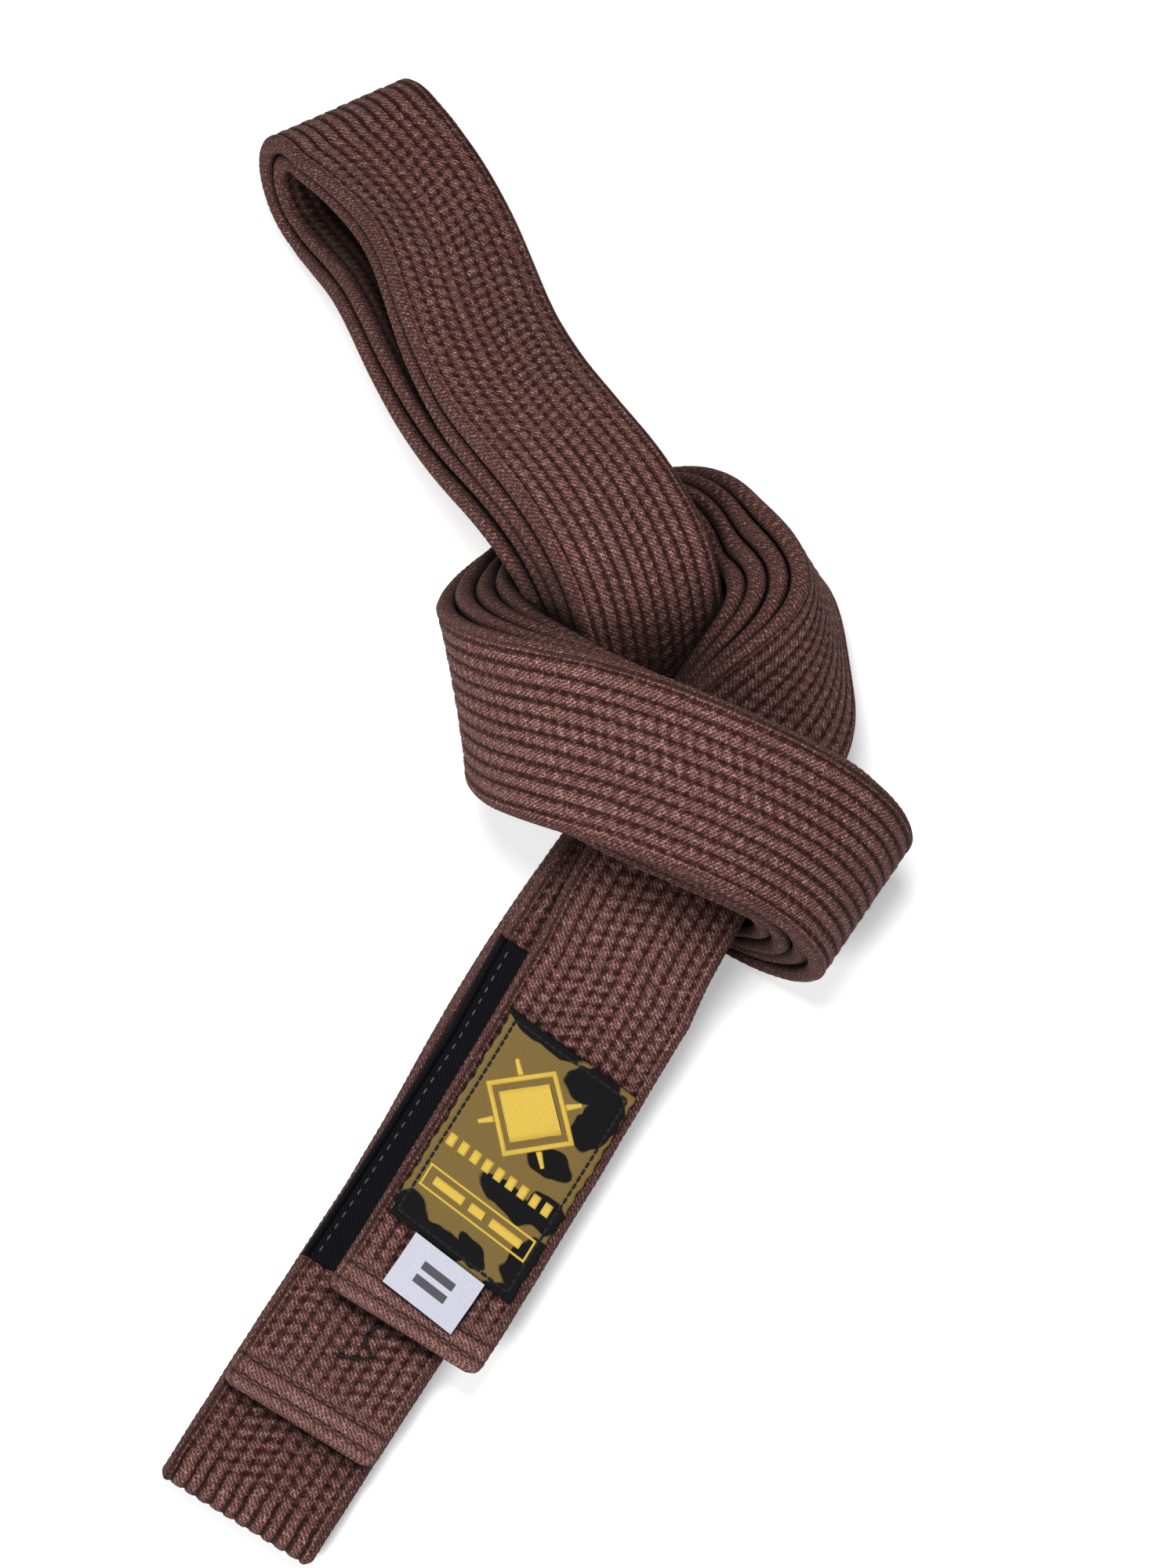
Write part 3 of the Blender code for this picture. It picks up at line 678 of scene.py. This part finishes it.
def belt_cloth():
    """Brown cotton twill: slanting yarns, painted dark in the grooves and hollows as shade, painted
    pale on the raised yarns as highlight, and pale at the edges and ends from use and from painted
    sheen.
    """
    g = Graph("belt_cloth")
    u, v = g.strip_place()
    drift = g.noise(DRIFT_NOISE)
    u = g.math("ADD", u, g.times(g.math("SUBTRACT", drift, 0.5), YARN_DRIFT))
    slant = g.wave(u, v, YARN_LENGTH, YARN_WIDTH)
    counter = g.wave(u, v, YARN_LENGTH, -YARN_WIDTH)
    yarn = g.math("ADD", g.times(g.times(slant, counter), 0.55), g.times(slant, 0.45))
    yarn = g.scaled(yarn, 0.5, 0.5)
    fibre = g.noise(FIBRE_NOISE, 3.0)
    blotch = g.noise(BLOTCH_NOISE)
    # painted light and shade of the relief, and paleness from use with painted sheen, come from the
    # mesh
    relief_light_and_shade = g.attribute("relief_light_and_shade")
    wear_and_sheen = g.attribute("wear_and_sheen")
    # painted highlight: raised yarns and raised cloth are mixed towards a pale colour, with the fibre
    # noise as the cloth's own uneven tone
    light = g.times(yarn, relief_light_and_shade)
    light = g.scaled(light, 1.3, -0.62)
    light = g.scaled(fibre, 0.6, light, clamp=True)
    # flecks of pale fibre, shown only on raised yarns and raised cloth: partly the cloth's own
    # flecks, partly painted highlight
    fleck = g.noise(FLECK_NOISE, 1.0)
    fleck = g.scaled(fleck, 9.0, -5.0, clamp=True)
    fleck = g.times(g.times(fleck, relief_light_and_shade), yarn)
    light = g.scaled(fleck, 1.3, light, clamp=True)
    # painted shade: the grooves get the dark colour and the raised cloth the middle one
    base = g.mix(relief_light_and_shade, linear(20, 6, 5), linear(82, 46, 42))
    colour = g.mix(light, base, linear(186, 140, 133))
    # paleness from use, and painted sheen, on the yarns at the edges and ends
    worn_and_sheen = g.times(g.times(wear_and_sheen, yarn), 0.35)
    colour = g.mix(worn_and_sheen, colour, linear(176, 136, 129))
    colour = g.mix(g.times(blotch, 0.3), colour, linear(62, 32, 28))
    # painted shade: hollows and faces near other cloth are darkened towards a near black
    depth = g.scaled(g.openness(HOLLOW_SHADE_REACH), 1.5, -0.42, clamp=True)
    colour = g.mix(depth, linear(12, 5, 4), colour)
    height = g.scaled(fibre, 0.35, yarn)
    g.bump(height, 0.00035, 0.9)
    return g.finish(colour, 0.92, 0.05, linear(190, 130, 120))


def woven(name, u_period, v_period, fibre_noise, detail=2.0):
    """Graph with a weave between 0 and 1 and with fibres."""
    g = Graph(name)
    u, v = g.strip_place()
    weave = g.scaled(g.wave(u, v, u_period, v_period), 0.5, 0.5)
    return g, weave, g.noise(fibre_noise, detail)


def black_twill():
    """Cloth of the rank bar."""
    g, slant, fibre = woven("black_twill", 1.1, 0.9, 2200.0, 3.0)
    mixed = g.scaled(fibre, 0.5, g.times(slant, 0.6), clamp=True)
    g.bump(g.scaled(fibre, 0.4, slant), 0.00012)
    return g.finish(g.mix(mixed, linear(3, 3, 4), linear(22, 22, 27)), 0.8, specular=0.05)


def tag_tape():
    """Pale woven tape with two printed bars; the bars come from the mesh."""
    g, weave, fibre = woven("tag_tape", 0.5, 0.7, 2200.0, 3.0)
    mixed = g.scaled(fibre, 0.5, g.times(weave, 0.5), clamp=True)
    colour = g.mix(mixed, linear(166, 167, 180), linear(206, 207, 218))
    printed = g.scaled(g.attribute("ink"), 8.0, 0.5, clamp=True)
    colour = g.mix(printed, colour, linear(74, 74, 80))
    g.bump(weave, 0.00005)
    return g.finish(colour, 0.5)


def thread_material(name, dark, pale):
    """Thread with fibres between two colours."""
    g = Graph(name)
    fibre = g.noise(1800.0)
    g.bump(fibre, 0.0001)
    return g.finish(g.mix(fibre, dark, pale), 0.6, 0.1)


def camo_cloth():
    """Satin camouflage; the blobs come from the mesh."""
    g, weave, fibre = woven("label_camouflage", 0.55, 0.8, 2500.0)
    dark = g.scaled(g.attribute("blob"), 12.0, 0.5, clamp=True)
    olive = g.mix(weave, linear(106, 86, 44), linear(134, 112, 66))
    navy = g.mix(weave, linear(7, 8, 11), linear(22, 23, 29))
    colour = g.mix(dark, olive, navy)
    colour = g.mix(g.times(fibre, 0.16), colour, linear(58, 50, 34))
    g.bump(g.scaled(fibre, 0.4, weave), 0.00008)
    return g.finish(colour, 0.7, specular=0.05)


def gold_thread():
    """Shiny embroidery; its strands lie across each stroke."""
    g, strand, fibre = woven("gold_thread", 0.42, 60.0, 2500.0)
    mixed = g.scaled(fibre, 0.4, g.times(strand, 0.6), clamp=True)
    g.bump(g.scaled(fibre, 0.3, strand), 0.00012)
    return g.finish(g.mix(mixed, linear(196, 158, 44), linear(236, 206, 98)), 0.42, 0.1)


# ------------------------------------------------------------ things on layers
THREAD_SIDES = 8
STITCH_SINK, STITCH_ARCH = 0.28, 0.30  # a stitch dips into the cloth at its ends
STITCH_TIP = 0.97


def on_layer(bundle, number, distance, side, lift):
    """Points over the middle of a layer; distance, side and lift may be arrays."""
    distance, side, lift = np.broadcast_arrays(np.asarray(distance, float), side, lift)
    centre, across, out = bundle.layer(number, distance.ravel())
    points = centre + across * side.reshape(-1, 1) + out * lift.reshape(-1, 1)
    return points.reshape(distance.shape + (3,))


def closed(corners):
    """Legs that join each corner to the next one, and the last to the first."""
    return list(zip(corners, corners[1:] + corners[:1]))


def stitch_run(name, bundle, number, legs, lift, material, pitch=2.6, length=1.9, radius=0.33):
    """Row of separate stitches; each leg is ((distance, side), (distance, side))."""
    points, faces = [], []
    rings = 9
    for (s0, t0), (s1, t1) in legs:
        run = math.hypot(s1 - s0, t1 - t0)
        count = max(1, round(run / pitch))
        for k in range(count):
            mid = (k + 0.5) / count
            half = length / run / 2
            part = np.linspace(mid - half, mid + half, rings)
            arch = np.sin(np.linspace(0, math.pi, rings))
            line = on_layer(bundle, number, s0 + (s1 - s0) * part, t0 + (t1 - t0) * part,
                            lift - STITCH_SINK + STITCH_ARCH * arch)
            thick = radius * np.sqrt(1 - np.linspace(-STITCH_TIP, STITCH_TIP, rings) ** 4)
            tube_points, tube_faces = tube(line, thick)
            faces.append(tube_faces + sum(len(p) for p in points))
            points.append(tube_points)
    return make_mesh(name, np.vstack(points), np.vstack(faces), material)


def tube(line, radius):
    """Thread along a line of points, with a radius at each of them."""
    along = unit(np.gradient(line, axis=0))
    helper = np.array((0.0, 0.0, 1.0)) if abs(along[0][2]) < 0.9 else np.array((1.0, 0.0, 0.0))
    side = unit(np.cross(helper, along))
    rise = np.cross(along, side)
    angle = 2 * math.pi * np.arange(THREAD_SIDES) / THREAD_SIDES
    points = (line[:, None, :] + radius[:, None, None]
              * (side[:, None, :] * np.cos(angle)[None, :, None]
                 + rise[:, None, :] * np.sin(angle)[None, :, None])).reshape(-1, 3)
    return capped(points, grid_faces(len(line), THREAD_SIDES, wrap=True), THREAD_SIDES)


def label_place(u, v):
    """Distance and side of a point of the label; u runs along it, v across it."""
    side = (v - 0.5) * LABEL_WIDTH
    return LABEL_START + LABEL_LENGTH * u - LABEL_SKEW * side, LABEL_SIDE + side


def label_edge(u, v):
    """Distance to the label's nearest edge."""
    return np.minimum(np.minimum(u, 1 - u) * LABEL_LENGTH, np.minimum(v, 1 - v) * LABEL_WIDTH)


STROKE_STEP, STROKE_COLUMNS = 0.35, 7

# Camouflage blobs on the label: (u, v, half length along, half width, turn in degrees).
BLOBS = (
    (1.00, 0.22, 0.055, 0.34, 4), (0.93, 0.70, 0.080, 0.19, -30), (0.82, 0.87, 0.15, 0.13, 12),
    (0.55, 0.74, 0.060, 0.17, -12), (0.33, 0.62, 0.055, 0.24, 8), (0.37, 0.88, 0.075, 0.16, 0),
    (0.02, 0.10, 0.110, 0.16, 0), (0.02, 0.36, 0.060, 0.22, -8), (0.16, 0.97, 0.120, 0.14, 10),
    (-0.01, 0.96, 0.06, 0.20, 0), (0.07, 0.60, 0.045, 0.14, 25),
)


def camo(u, v):
    """Positive inside a dark blob of the label."""
    u = u + 0.012 * ripple(31, u * LABEL_LENGTH, v * LABEL_WIDTH, 9.0)
    v = v + 0.030 * ripple(32, u * LABEL_LENGTH, v * LABEL_WIDTH, 8.0)
    field = np.full(u.shape, -1.0)
    for bu, bv, ru, rv, turn in BLOBS:
        c, s = math.cos(math.radians(turn)), math.sin(math.radians(turn))
        du, dv = (u - bu) * LABEL_LENGTH, (v - bv) * LABEL_WIDTH
        x, y = (du * c + dv * s) / (ru * LABEL_LENGTH), (dv * c - du * s) / (rv * LABEL_WIDTH)
        field = np.maximum(field, 1 - np.sqrt(x ** 2 + y ** 2))
    return field


def label_lift(u, v):
    """How far the label's face stands over the middle of layer 1."""
    edge = label_edge(u, v)
    seam = bell(edge - LABEL_INSET, LABEL_DENT_WIDTH)
    puff = 0.12 * ripple(41, u * LABEL_LENGTH, v * LABEL_WIDTH, 12.0)
    return HALF_THICK + (SURFACE_GAP + LABEL_THICK + 0.05 - LABEL_DENT * seam
                         + puff * ease(edge, 1.5, 4))


def make_label(bundle, material):
    """Camouflage patch, puckered along its two long edges."""
    u, v = unit_grid(*(((170, 110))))
    s, t = label_place(u, v)
    pucker = 0.16 * np.sin(s / 0.62) + 0.14 * np.sin(s / 1.9)
    t = t + pucker * (ease(v, 0.96, 1.0) - (1 - ease(v, 0.0, 0.04)))
    round_off = 0.22 * (1 - ease(label_edge(u, v), 0, 0.5))
    top = on_layer(bundle, 1, s, t, label_lift(u, v) - round_off)
    under = on_layer(bundle, 1, s, t, HALF_THICK + 0.12)
    points, faces = slab(top, under, both_up=True)
    blob = camo(u, v).ravel()
    uv = slab_map(u * LABEL_LENGTH, v * LABEL_WIDTH)
    return make_mesh("label_patch", points, faces, material, uv,
                     {"blob": np.concatenate((blob, blob))})


def embroidered(name, bundle, strokes, material):
    """Raised satin stitch: each stroke is a quad outline in label coordinates, in mm."""
    points, faces, maps = [], [], []
    count = 0
    for corners in strokes:
        a, b, c, d = (np.array(p, float) for p in corners)
        length = max(np.linalg.norm(b - a), np.linalg.norm(c - d))
        width = max(np.linalg.norm(d - a), np.linalg.norm(c - b))
        i, j = unit_grid(max(3, round(length / STROKE_STEP)), STROKE_COLUMNS)
        flat = ((a * (1 - i)[..., None] + b * i[..., None]) * (1 - j)[..., None]
                + (d * (1 - i)[..., None] + c * i[..., None]) * j[..., None])
        crown = np.sqrt(np.clip(1 - (2 * j - 1) ** 2, 0, 1)) * min(0.42, 0.25 + width * 0.06)
        u, v = flat[..., 0] / LABEL_LENGTH, flat[..., 1] / LABEL_WIDTH
        s, t = label_place(u, v)
        top = on_layer(bundle, 1, s, t, label_lift(u, v) - 0.06 + crown)
        under = on_layer(bundle, 1, s, t, label_lift(u, v) - 0.12)
        stroke_points, stroke_faces = slab(top, under)
        points.append(stroke_points)
        faces.append(stroke_faces + count)
        maps.append(slab_map(i * length, j * width))
        count += len(stroke_points)
    return make_mesh(name, np.vstack(points), np.vstack(faces), material, np.vstack(maps))


def gold_strokes():
    """Generic mark: a diamond in a frame with four rays, a row of bars, and a framed line."""
    strokes = []
    cu, cv = 0.675 * LABEL_LENGTH, 0.45 * LABEL_WIDTH

    def box(low, high, left, right):
        strokes.append(((low, left), (low, right), (high, right), (high, left)))

    def frame_side(low, high, left, right):
        strokes.append(((low, left), (high, left), (high, right), (low, right)))

    outer, inner, solid = 12.0, 10.2, 8.6
    for (x0, y0), (x1, y1) in closed([(1, 0), (0, 1), (-1, 0), (0, -1)]):
        strokes.append(((cu + outer * x0, cv + outer * y0), (cu + outer * x1, cv + outer * y1),
                        (cu + inner * x1, cv + inner * y1), (cu + inner * x0, cv + inner * y0)))
    strokes.append(((cu - solid, cv), (cu, cv + solid), (cu + solid, cv), (cu, cv - solid)))
    near, far, near_half, far_half = 8.6, 12.4, 0.8, 0.5
    for k in range(4):
        angle = math.pi / 4 + k * math.pi / 2
        x, y = math.cos(angle), math.sin(angle)
        ends = ((near, near_half), (far, far_half), (far, -far_half), (near, -near_half))
        strokes.append([(cu + out * x - half * y, cv + out * y + half * x) for out, half in ends])

    row, half, first, pitch, wide = 0.39 * LABEL_LENGTH, 1.6, 2.6, 3.2, 1.9
    for k in range(9):
        left = first + k * pitch
        box(row - half, row + half, left, left + wide)
    low, high, left, right, wide = 8.9, 14.6, 2.4, 31.0, 0.6
    box(low, low + wide, left, right)
    box(high - wide, high, left, right)
    frame_side(low, high, left, left + wide)
    frame_side(low, high, right - wide, right)
    for start, end in ((5.0, 12.8), (14.6, 18.4), (20.2, 28.4)):
        box(10.6, 12.9, start, end)
    return strokes


def make_tag(bundle, material):
    """Tape below the label, which droops towards its free end; u is 0 there."""
    u, v = unit_grid(*(((110, 160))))
    side = (v - 0.5) * TAG_WIDTH
    ink = np.full(u.shape, -1.0)
    for middle in TAG_BARS:
        inside = np.minimum(TAG_BAR_HALF_WIDTH - np.abs(u * TAG_LENGTH - middle),
                            TAG_BAR_HALF_LENGTH - np.abs(side))
        ink = np.maximum(ink, inside)
    s = LABEL_START - TAG_GAP - TAG_LENGTH * (1 - u) + TAG_REACH * u - LABEL_SKEW * side
    t = TAG_SIDE + side - 0.6 * (1 - u)
    wave = 0.35 * np.sin(math.pi * v) * (1 - u) + 0.10 * ripple(51, s, t, 11.0)
    lift = HALF_THICK + SURFACE_GAP + TAG_LIFT + 0.1 + wave - TAG_DROOP * (1 - u) ** 1.5
    top = on_layer(bundle, 1, s, t, lift + 0.3)
    under = on_layer(bundle, 1, s, t, lift - 0.05)
    points, faces = slab(top, under)
    uv = slab_map(u * TAG_LENGTH, v * TAG_WIDTH)
    return make_mesh("size_tag_cloth", points, faces, material, uv,
                     {"ink": np.concatenate((ink.ravel(), np.full(ink.size, -1.0)))})


def make_rank_bar(bundle, material):
    """Black twill sleeve around layer 2."""
    path = stretch(bundle, 2, BAR_START, BAR_END)
    s = np.linspace(0, BAR_END - BAR_START, len(path[0]))
    x, y, around = section_profile(HALF_WIDTH + BAR_OVERHANG, BAR_THICK / 2 - 0.02, ACROSS_STEP)
    facing = ease(np.abs(y), 0.4, BAR_THICK / 2 * 0.95)
    dents = BAR_DENT * bell(np.abs(x) - BAR_SEAM, BAR_DENT_WIDTH) * facing
    height = 0.06 * ripple(61, s[:, None], around[None, :], 14.0) - dents[None, :]
    edge = np.minimum(s, s[-1] - s)
    tall = 1 - 0.22 * (1 - ease(edge, 0, 0.8))
    sideways = np.broadcast_to(x, height.shape)
    upward = (y[None, :] + np.sign(y)[None, :] * height) * tall[:, None]
    points, faces, uv = swept(path, sideways, upward, s, around)
    return make_mesh("rank_bar_sleeve", points, faces, material, uv)


# ---------------------------------------------------------------------- build
def at_bundle(bundle, distance):
    """Place and direction of the bundle's centre, in metres."""
    centre, along, _, _ = bundle.frame([distance])
    return centre[0] * MM, along[0]


def blend_across(piece, bundle, distance, number):
    """Bakes a piece's transform into its mesh; where the layer lies at a distance along the bundle is
    worked out, but not used.
    """
    _, along = at_bundle(bundle, distance)
    place = bundle.layer(number, [distance])[0][0] * MM
    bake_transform(piece)


def belt_thickness_under_bar(place):
    """Thickness of layer 2, which is squeezed inside the rank bar."""
    squeezed = ease(place, BAR_START - 6, BAR_START - 3) * (1 - ease(place, BAR_END + 3, BAR_END + 6))
    return BELT_THICK - (BELT_THICK - BAR_BELT_THICK) * squeezed


def build_belt(bundle):
    """The strip in four pieces, which meet between two hinges and under the band."""
    cloth = belt_cloth()
    full = bundle.length

    tail = belt_piece("belt_label_end", stretch(bundle, 1, LABEL_END, LABEL_SEAM, (0, SPARE)),
                      cloth, LABEL_END, shift=0, seed=3, hemmed=True, spare=(0, SPARE))
    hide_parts("cover_label_end", "core_label_end")
    blend_across(tail, bundle, LABEL_HINGE, 1)

    seam_mark = LABEL_END + arc_length(stretch(bundle, 1, LABEL_END, LABEL_SEAM))
    middle = belt_piece("belt_label_bend",
                        stretch(bundle, 1, LABEL_SEAM, HIDDEN_SEAM, (SPARE, SPARE)),
                        cloth, seam_mark, shift=0, seed=3, spare=(SPARE, SPARE))
    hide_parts("cover_label_bend", "core_label_bend")
    blend_across(middle, bundle, RANK_HINGE, 1)

    rank = belt_piece("belt_rank_end", stretch(bundle, 2, RANK_END, HIDDEN_SEAM, (0, SPARE)),
                      cloth, RANK_END, shift=1, seed=4, hemmed=True, spare=(0, SPARE),
                      thick_at=belt_thickness_under_bar)
    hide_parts("cover_rank_end", "core_rank_end")
    blend_across(rank, bundle, RANK_HINGE, 2)

    turns = ((1, HIDDEN_SEAM, full), (4, full, 0.0), (3, 0.0, full), (2, full, HIDDEN_SEAM))
    run = belt_piece("belt_main_run", folded_strip(bundle, turns), cloth, HIDDEN_SEAM,
                     shift=0, seed=3, spare=(SPARE, SPARE))
    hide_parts("cover_knot_first_layer", "core_knot_first_layer",
                "cover_knot_second_layer", "core_knot_second_layer", "cover_fold_run",
                "core_fold_run", "cover_outer_loop", "core_outer_loop", "cover_inner_loop",
                "core_inner_loop")
    place, _ = at_bundle(bundle, LOOP_HINGE)
    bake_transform(run)


def build_rank_bar(bundle):
    bar = make_rank_bar(bundle, black_twill())
    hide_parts("rank_bar")
    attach(bar, "rank_tail")
    grey_thread = thread_material("bar_thread", linear(30, 30, 34), linear(96, 96, 104))
    legs = [((BAR_START + 1.5, side), (BAR_END - 1.5, side)) for side in (-BAR_SEAM, BAR_SEAM)]
    bar_stitches = stitch_run("rank_bar_stitches", bundle, 2, legs, BAR_THICK / 2 + 0.16,
                              grey_thread, pitch=3.0, length=1.5, radius=0.2)
    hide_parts("rank_bar_stitching")
    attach(bar_stitches, "rank_tail")


def build_label(bundle, black_thread):
    """Patch with its embroidery and the stitches around it."""
    patch = make_label(bundle, camo_cloth())
    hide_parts("label")
    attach(patch, "label_tail")
    gold = embroidered("label_embroidery", bundle, gold_strokes(), gold_thread())
    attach(gold, "label_tail")

    u, v = LABEL_INSET / LABEL_LENGTH, LABEL_INSET / LABEL_WIDTH
    corners = [label_place(*corner) for corner in ((u, v), (1 - u, v), (1 - u, 1 - v), (u, 1 - v))]
    seam = stitch_run("label_stitches", bundle, 1, closed(corners),
                      HALF_THICK + SURFACE_GAP + LABEL_THICK + 0.05, black_thread,
                      pitch=1.9, length=1.65, radius=0.34)
    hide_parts("label_stitching")
    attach(seam, "label_tail")


def build_tag(bundle):
    """Tag; its flat size is the 12 mm that flaps and the 1 mm towards the label."""
    tag = make_tag(bundle, tag_tape())
    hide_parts("size_tag")
    lift = HALF_THICK + SURFACE_GAP + TAG_LIFT + 0.25
    hinge = LABEL_START - TAG_GAP
    held, free = (on_layer(bundle, 1, [hinge + away], TAG_SIDE, lift)[0] * MM for away in TAG_BLEND)
    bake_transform(tag)


def build_hem_stitches(bundle):
    """Box of stitches across each free end."""
    brown_thread = thread_material("brown_thread", linear(60, 34, 30), linear(120, 84, 78))
    for name, number, end_mark, node, body in (
            ("label_end_stitches", 1, LABEL_END, "label_end_stitching", "label_tail"),
            ("rank_end_stitches", 2, RANK_END, "rank_end_stitching", "rank_tail")):
        near, far = (end_mark + row for row in HEM_ROWS)
        half = HALF_WIDTH - 3.2
        corners = [(near, -half), (near, half), (far, half), (far, -half)]
        stitches = stitch_run(name, bundle, number, closed(corners), HALF_THICK + 0.12,
                              brown_thread)
        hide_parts(node)
        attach(stitches, body)


def build_loose_thread(bundle, black_thread):
    """Thread end on the rank end, from under the label end."""
    route = np.array(((46.0, 4.0), (43.5, 2.5), (41.5, 3.0), (39.5, 5.5), (38.0, 5.0),
                      (36.5, 2.0), (35.5, -1.5)))
    marks = np.linspace(0, len(route) - 1, 40)
    smooth_route, _ = natural_spline(np.arange(float(len(route))), route, marks)
    line = on_layer(bundle, 2, smooth_route[:, 0], smooth_route[:, 1],
                    HALF_THICK + 0.45 + 0.15 * np.sin(marks * 2.0))
    points, faces = tube(line, np.full(len(line), 0.22))
    loose = make_mesh("loose_thread_end", points, faces, black_thread)
    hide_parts("loose_thread")
    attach(loose, "rank_tail")


def build():
    bundle = Bundle()
    build_belt(bundle)
    build_rank_bar(bundle)
    black_thread = thread_material("black_thread", linear(8, 8, 10), linear(30, 28, 30))
    build_label(bundle, black_thread)
    build_tag(bundle)
    build_hem_stitches(bundle)
    build_loose_thread(bundle, black_thread)


# ----------------------------------------------------------- floor and lights
CAMERA_TILT = math.radians(75.0)
CAMERA_DISTANCE = 0.9
VIEW_HEIGHT = 0.352  # what the camera sees over its long side at that distance
TARGET = np.array((10.0, 0.0, 15.0)) + ORIGIN_SHIFT
SENSOR = 36.0
FLOOR_HALF, FLOOR_LEVEL, FLOOR_GLOW = 4000.0, -0.2, 0.40
WHITE = (1.0, 1.0, 1.0, 1.0)
WORLD_LIGHT = 0.10
# Place and size in metres, and power in watts.
LIGHTS = {
    "key": ((-0.40, -0.56, 0.80), 0.36, 6.2),
    "near_key": ((0.00, 0.03, 0.50), 0.18, 2.1),
}


def area_light(name, place, size, power):
    """Round soft light that points at the camera's target."""
    data = bpy.data.lights.new(name, "AREA")
    data.shape = "DISK"
    data.size = size
    data.energy = power
    light = bpy.data.objects.new(name, data)
    light.location = place
    aim = Vector(tuple(TARGET * MM)) - Vector(place)
    light.rotation_euler = aim.to_track_quat("-Z", "Y").to_euler()
    bpy.context.scene.collection.objects.link(light)


def make_floor():
    """Pale floor that glows a little, so that it comes out white."""
    graph = Graph("floor")
    grain = graph.noise(40.0)
    graph.finish(graph.mix(grain, (0.88, 0.88, 0.88, 1), (0.92, 0.92, 0.92, 1)), 0.9)
    graph.shader.inputs["Emission Color"].default_value = WHITE
    graph.shader.inputs["Emission Strength"].default_value = FLOOR_GLOW
    corners = [(x * FLOOR_HALF, y * FLOOR_HALF, FLOOR_LEVEL)
               for x, y in ((-1, -1), (1, -1), (1, 1), (-1, 1))]
    floor = make_mesh("floor", np.array(corners), np.array([[0, 1, 2, 3]]), graph.material)


def make_camera():
    """Camera at the photograph's angle."""
    data = bpy.data.cameras.new("camera")
    data.sensor_fit = "AUTO"
    data.sensor_width = SENSOR
    data.lens = SENSOR * CAMERA_DISTANCE / VIEW_HEIGHT
    data.clip_start = 0.01
    camera = bpy.data.objects.new("camera", data)
    back = np.array((0.0, -math.cos(CAMERA_TILT), math.sin(CAMERA_TILT)))
    camera.location = tuple(TARGET * MM + back * CAMERA_DISTANCE)
    camera.rotation_euler = (math.pi / 2 - CAMERA_TILT, 0.0, 0.0)
    bpy.context.scene.collection.objects.link(camera)
    bpy.context.scene.camera = camera


def studio():
    make_floor()
    world = bpy.data.worlds.new("studio")
    world.use_nodes = True
    background = world.node_tree.nodes["Background"]
    background.inputs["Color"].default_value = WHITE
    background.inputs["Strength"].default_value = WORLD_LIGHT
    bpy.context.scene.world = world
    for name, (place, size, power) in LIGHTS.items():
        area_light(name, place, size, power)
    make_camera()
    bpy.context.scene.view_settings.view_transform = "Standard"


build()
studio()
